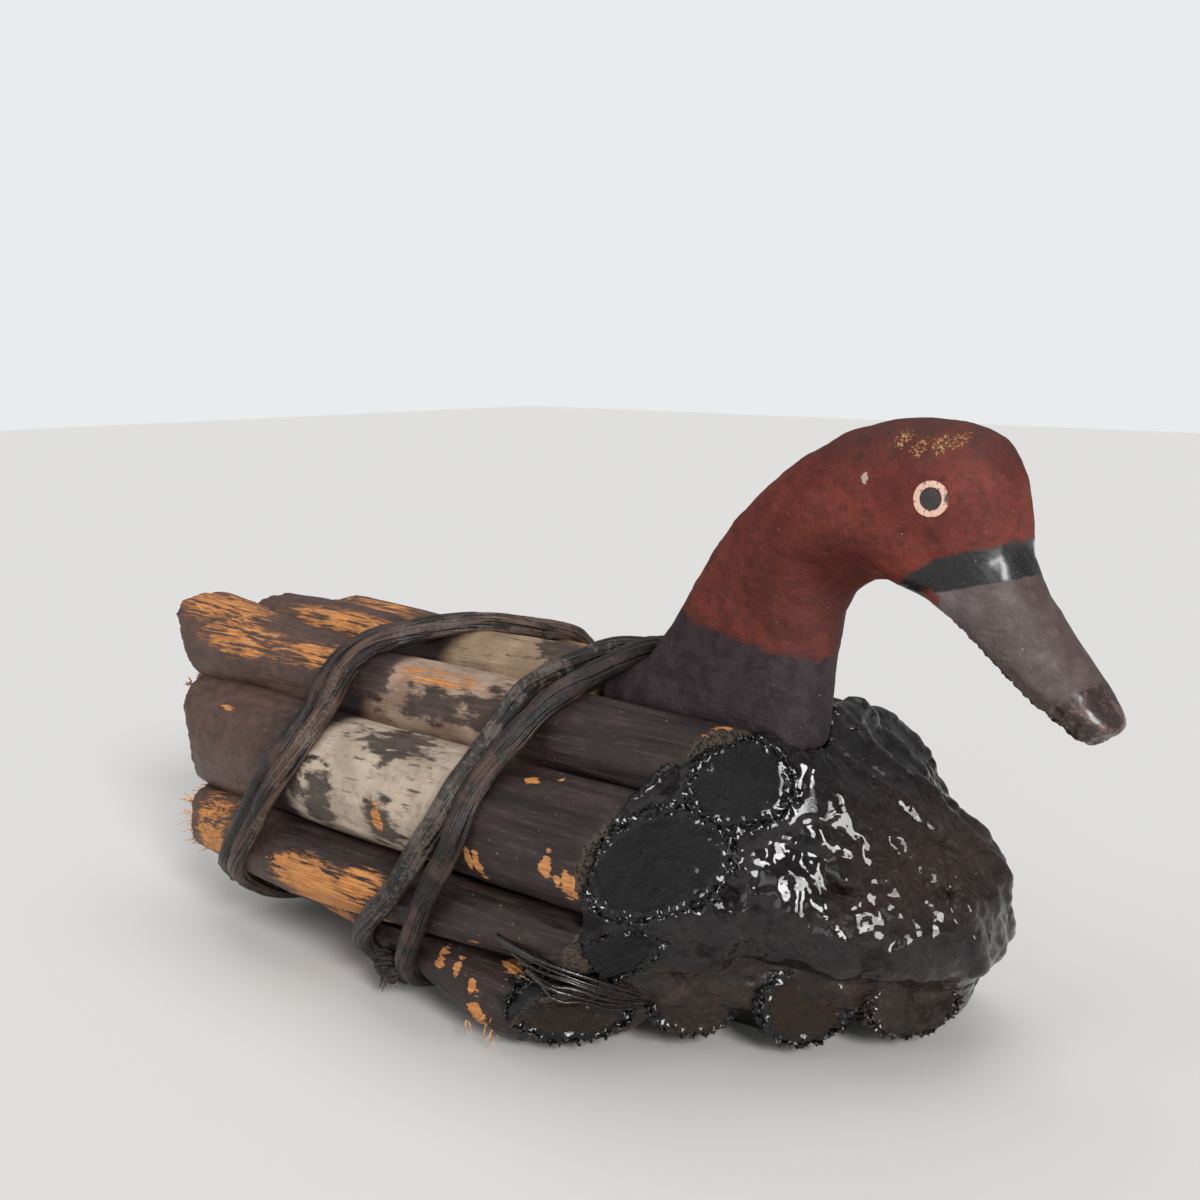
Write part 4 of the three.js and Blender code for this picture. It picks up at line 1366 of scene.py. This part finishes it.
def tuft(seed, count, spread, lean, length, radius, wander):
    """Fibres rooted in a box, `spread`, all leaning roughly one way."""
    rnd = random.Random(seed)
    rows = []
    for _ in range(count):
        spot = Vector([rnd.uniform(*limits) for limits in spread])
        stray = Vector([rnd.uniform(-wander, wander) for _ in range(3)])
        way = (Vector(lean) + stray).normalized()
        size = rnd.uniform(*length)
        path = [tuple(spot)]
        for _ in range(3):
            spot = spot + way * size / 3
            curl = Vector([rnd.uniform(-0.35, 0.35) for _ in range(3)])
            way = (way + curl).normalized()
            path.append(tuple(spot))
        rows.append((path, rnd.uniform(*radius)))
    return rows


# %% [markdown]
# The tails fray all round their rims. Splinters stand up where the bark of the low right
# stem tore, a few tarred roots run down between it and the filler, and a few fibres hang
# from the front knot.

# %% Tufts
def end_tuft(node, seed, count, length, wander):
    """Fibres rooted round the rim of a stem's tail end."""
    rnd = random.Random(seed)
    rim = [mm(v.co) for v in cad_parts[node].data.vertices]
    back = min(p[0] for p in rim)
    rim = [p for p in rim if p[0] < back + 9]
    cy = sum(p[1] for p in rim) / len(rim)
    cz = sum(p[2] for p in rim) / len(rim)
    rows = []
    for _ in range(count):
        x, y, z = rim[rnd.randrange(len(rim))]
        x, y, z = x + 1.0, cy + (y - cy) * 0.96, cz + (z - cz) * 0.96
        out = Vector((-1.0, (y - cy) * 0.02, (z - cz) * 0.02))
        rows += tuft(rnd.random(), 1, ((x, x), (y, y), (z, z)), out, length, (0.16, 0.38),
                     wander)
    return rows


fibres("filler_tail_fray", tan_fibre, end_tuft("stem_filler_right", 3, 110, (3.0, 9.0), 0.45))
fibres("side_tail_fray", rust_fibre, end_tuft("stem_side_right", 4, 60, (1.5, 3.5), 0.5))
fibres("top_tail_fray", rust_fibre, end_tuft("stem_top_right", 5, 60, (1.0, 3.0), 0.5))
fibres("left_tail_fray", rust_fibre, end_tuft("stem_side_left", 6, 50, (1.5, 4.0), 0.5)
       + end_tuft("stem_top_left", 7, 40, (1.5, 4.0), 0.5))
fibres("low_tail_fray", tan_fibre, end_tuft("stem_low_right", 8, 40, (1.5, 5.0), 0.5)
       + end_tuft("stem_low_middle", 9, 30, (1.5, 4.0), 0.5)
       + end_tuft("stem_filler_left", 10, 40, (2.0, 5.0), 0.5))
fibres("torn_splinters", tan_fibre,
       tuft(11, 26, ((52, 62), (-60, -52), (23.0, 25.5)), (1, -0.1, 0.12), (4, 11), (0.3, 0.65),
            0.30)
       + tuft(12, 16, ((42, 56), (-67, -64), (4, 14)), (0.5, -0.4, -0.6), (1.5, 4.5),
              (0.15, 0.35), 0.5))


def root_paths(seed, count, sway_mm):
    """Roots side by side, each a little lower and further forward than the last."""
    rnd = random.Random(seed)
    rows = []
    for i in range(count):
        sway = [rnd.uniform(-sway_mm, sway_mm) for _ in range(5)]
        path = [(56 + 3 * i, -66.4, 36 - 1.7 * i),
                (66 + 2 * i, -66.6 + sway[0], 34 - 1.8 * i + sway[1]),
                (77 + i, -64 + i, 31 - 1.7 * i + sway[2]),
                (86, -55 + i, 27 - 1.8 * i + sway[3]),
                (89, -42 + i, 21 - 0.9 * i + sway[4])]
        rows.append((path, rnd.uniform(0.5, 1.3)))
    return rows


fibres("root_fibres", tarred_fibre, root_paths(21, 7, 1.3), sides=2)
fibres("knot_fibres", tarred_fibre,
       tuft(13, 12, ((-3, 7), (-61, -58), (7, 9)), (0.1, -0.2, -1), (2, 4.5), (0.35, 0.7), 0.4))
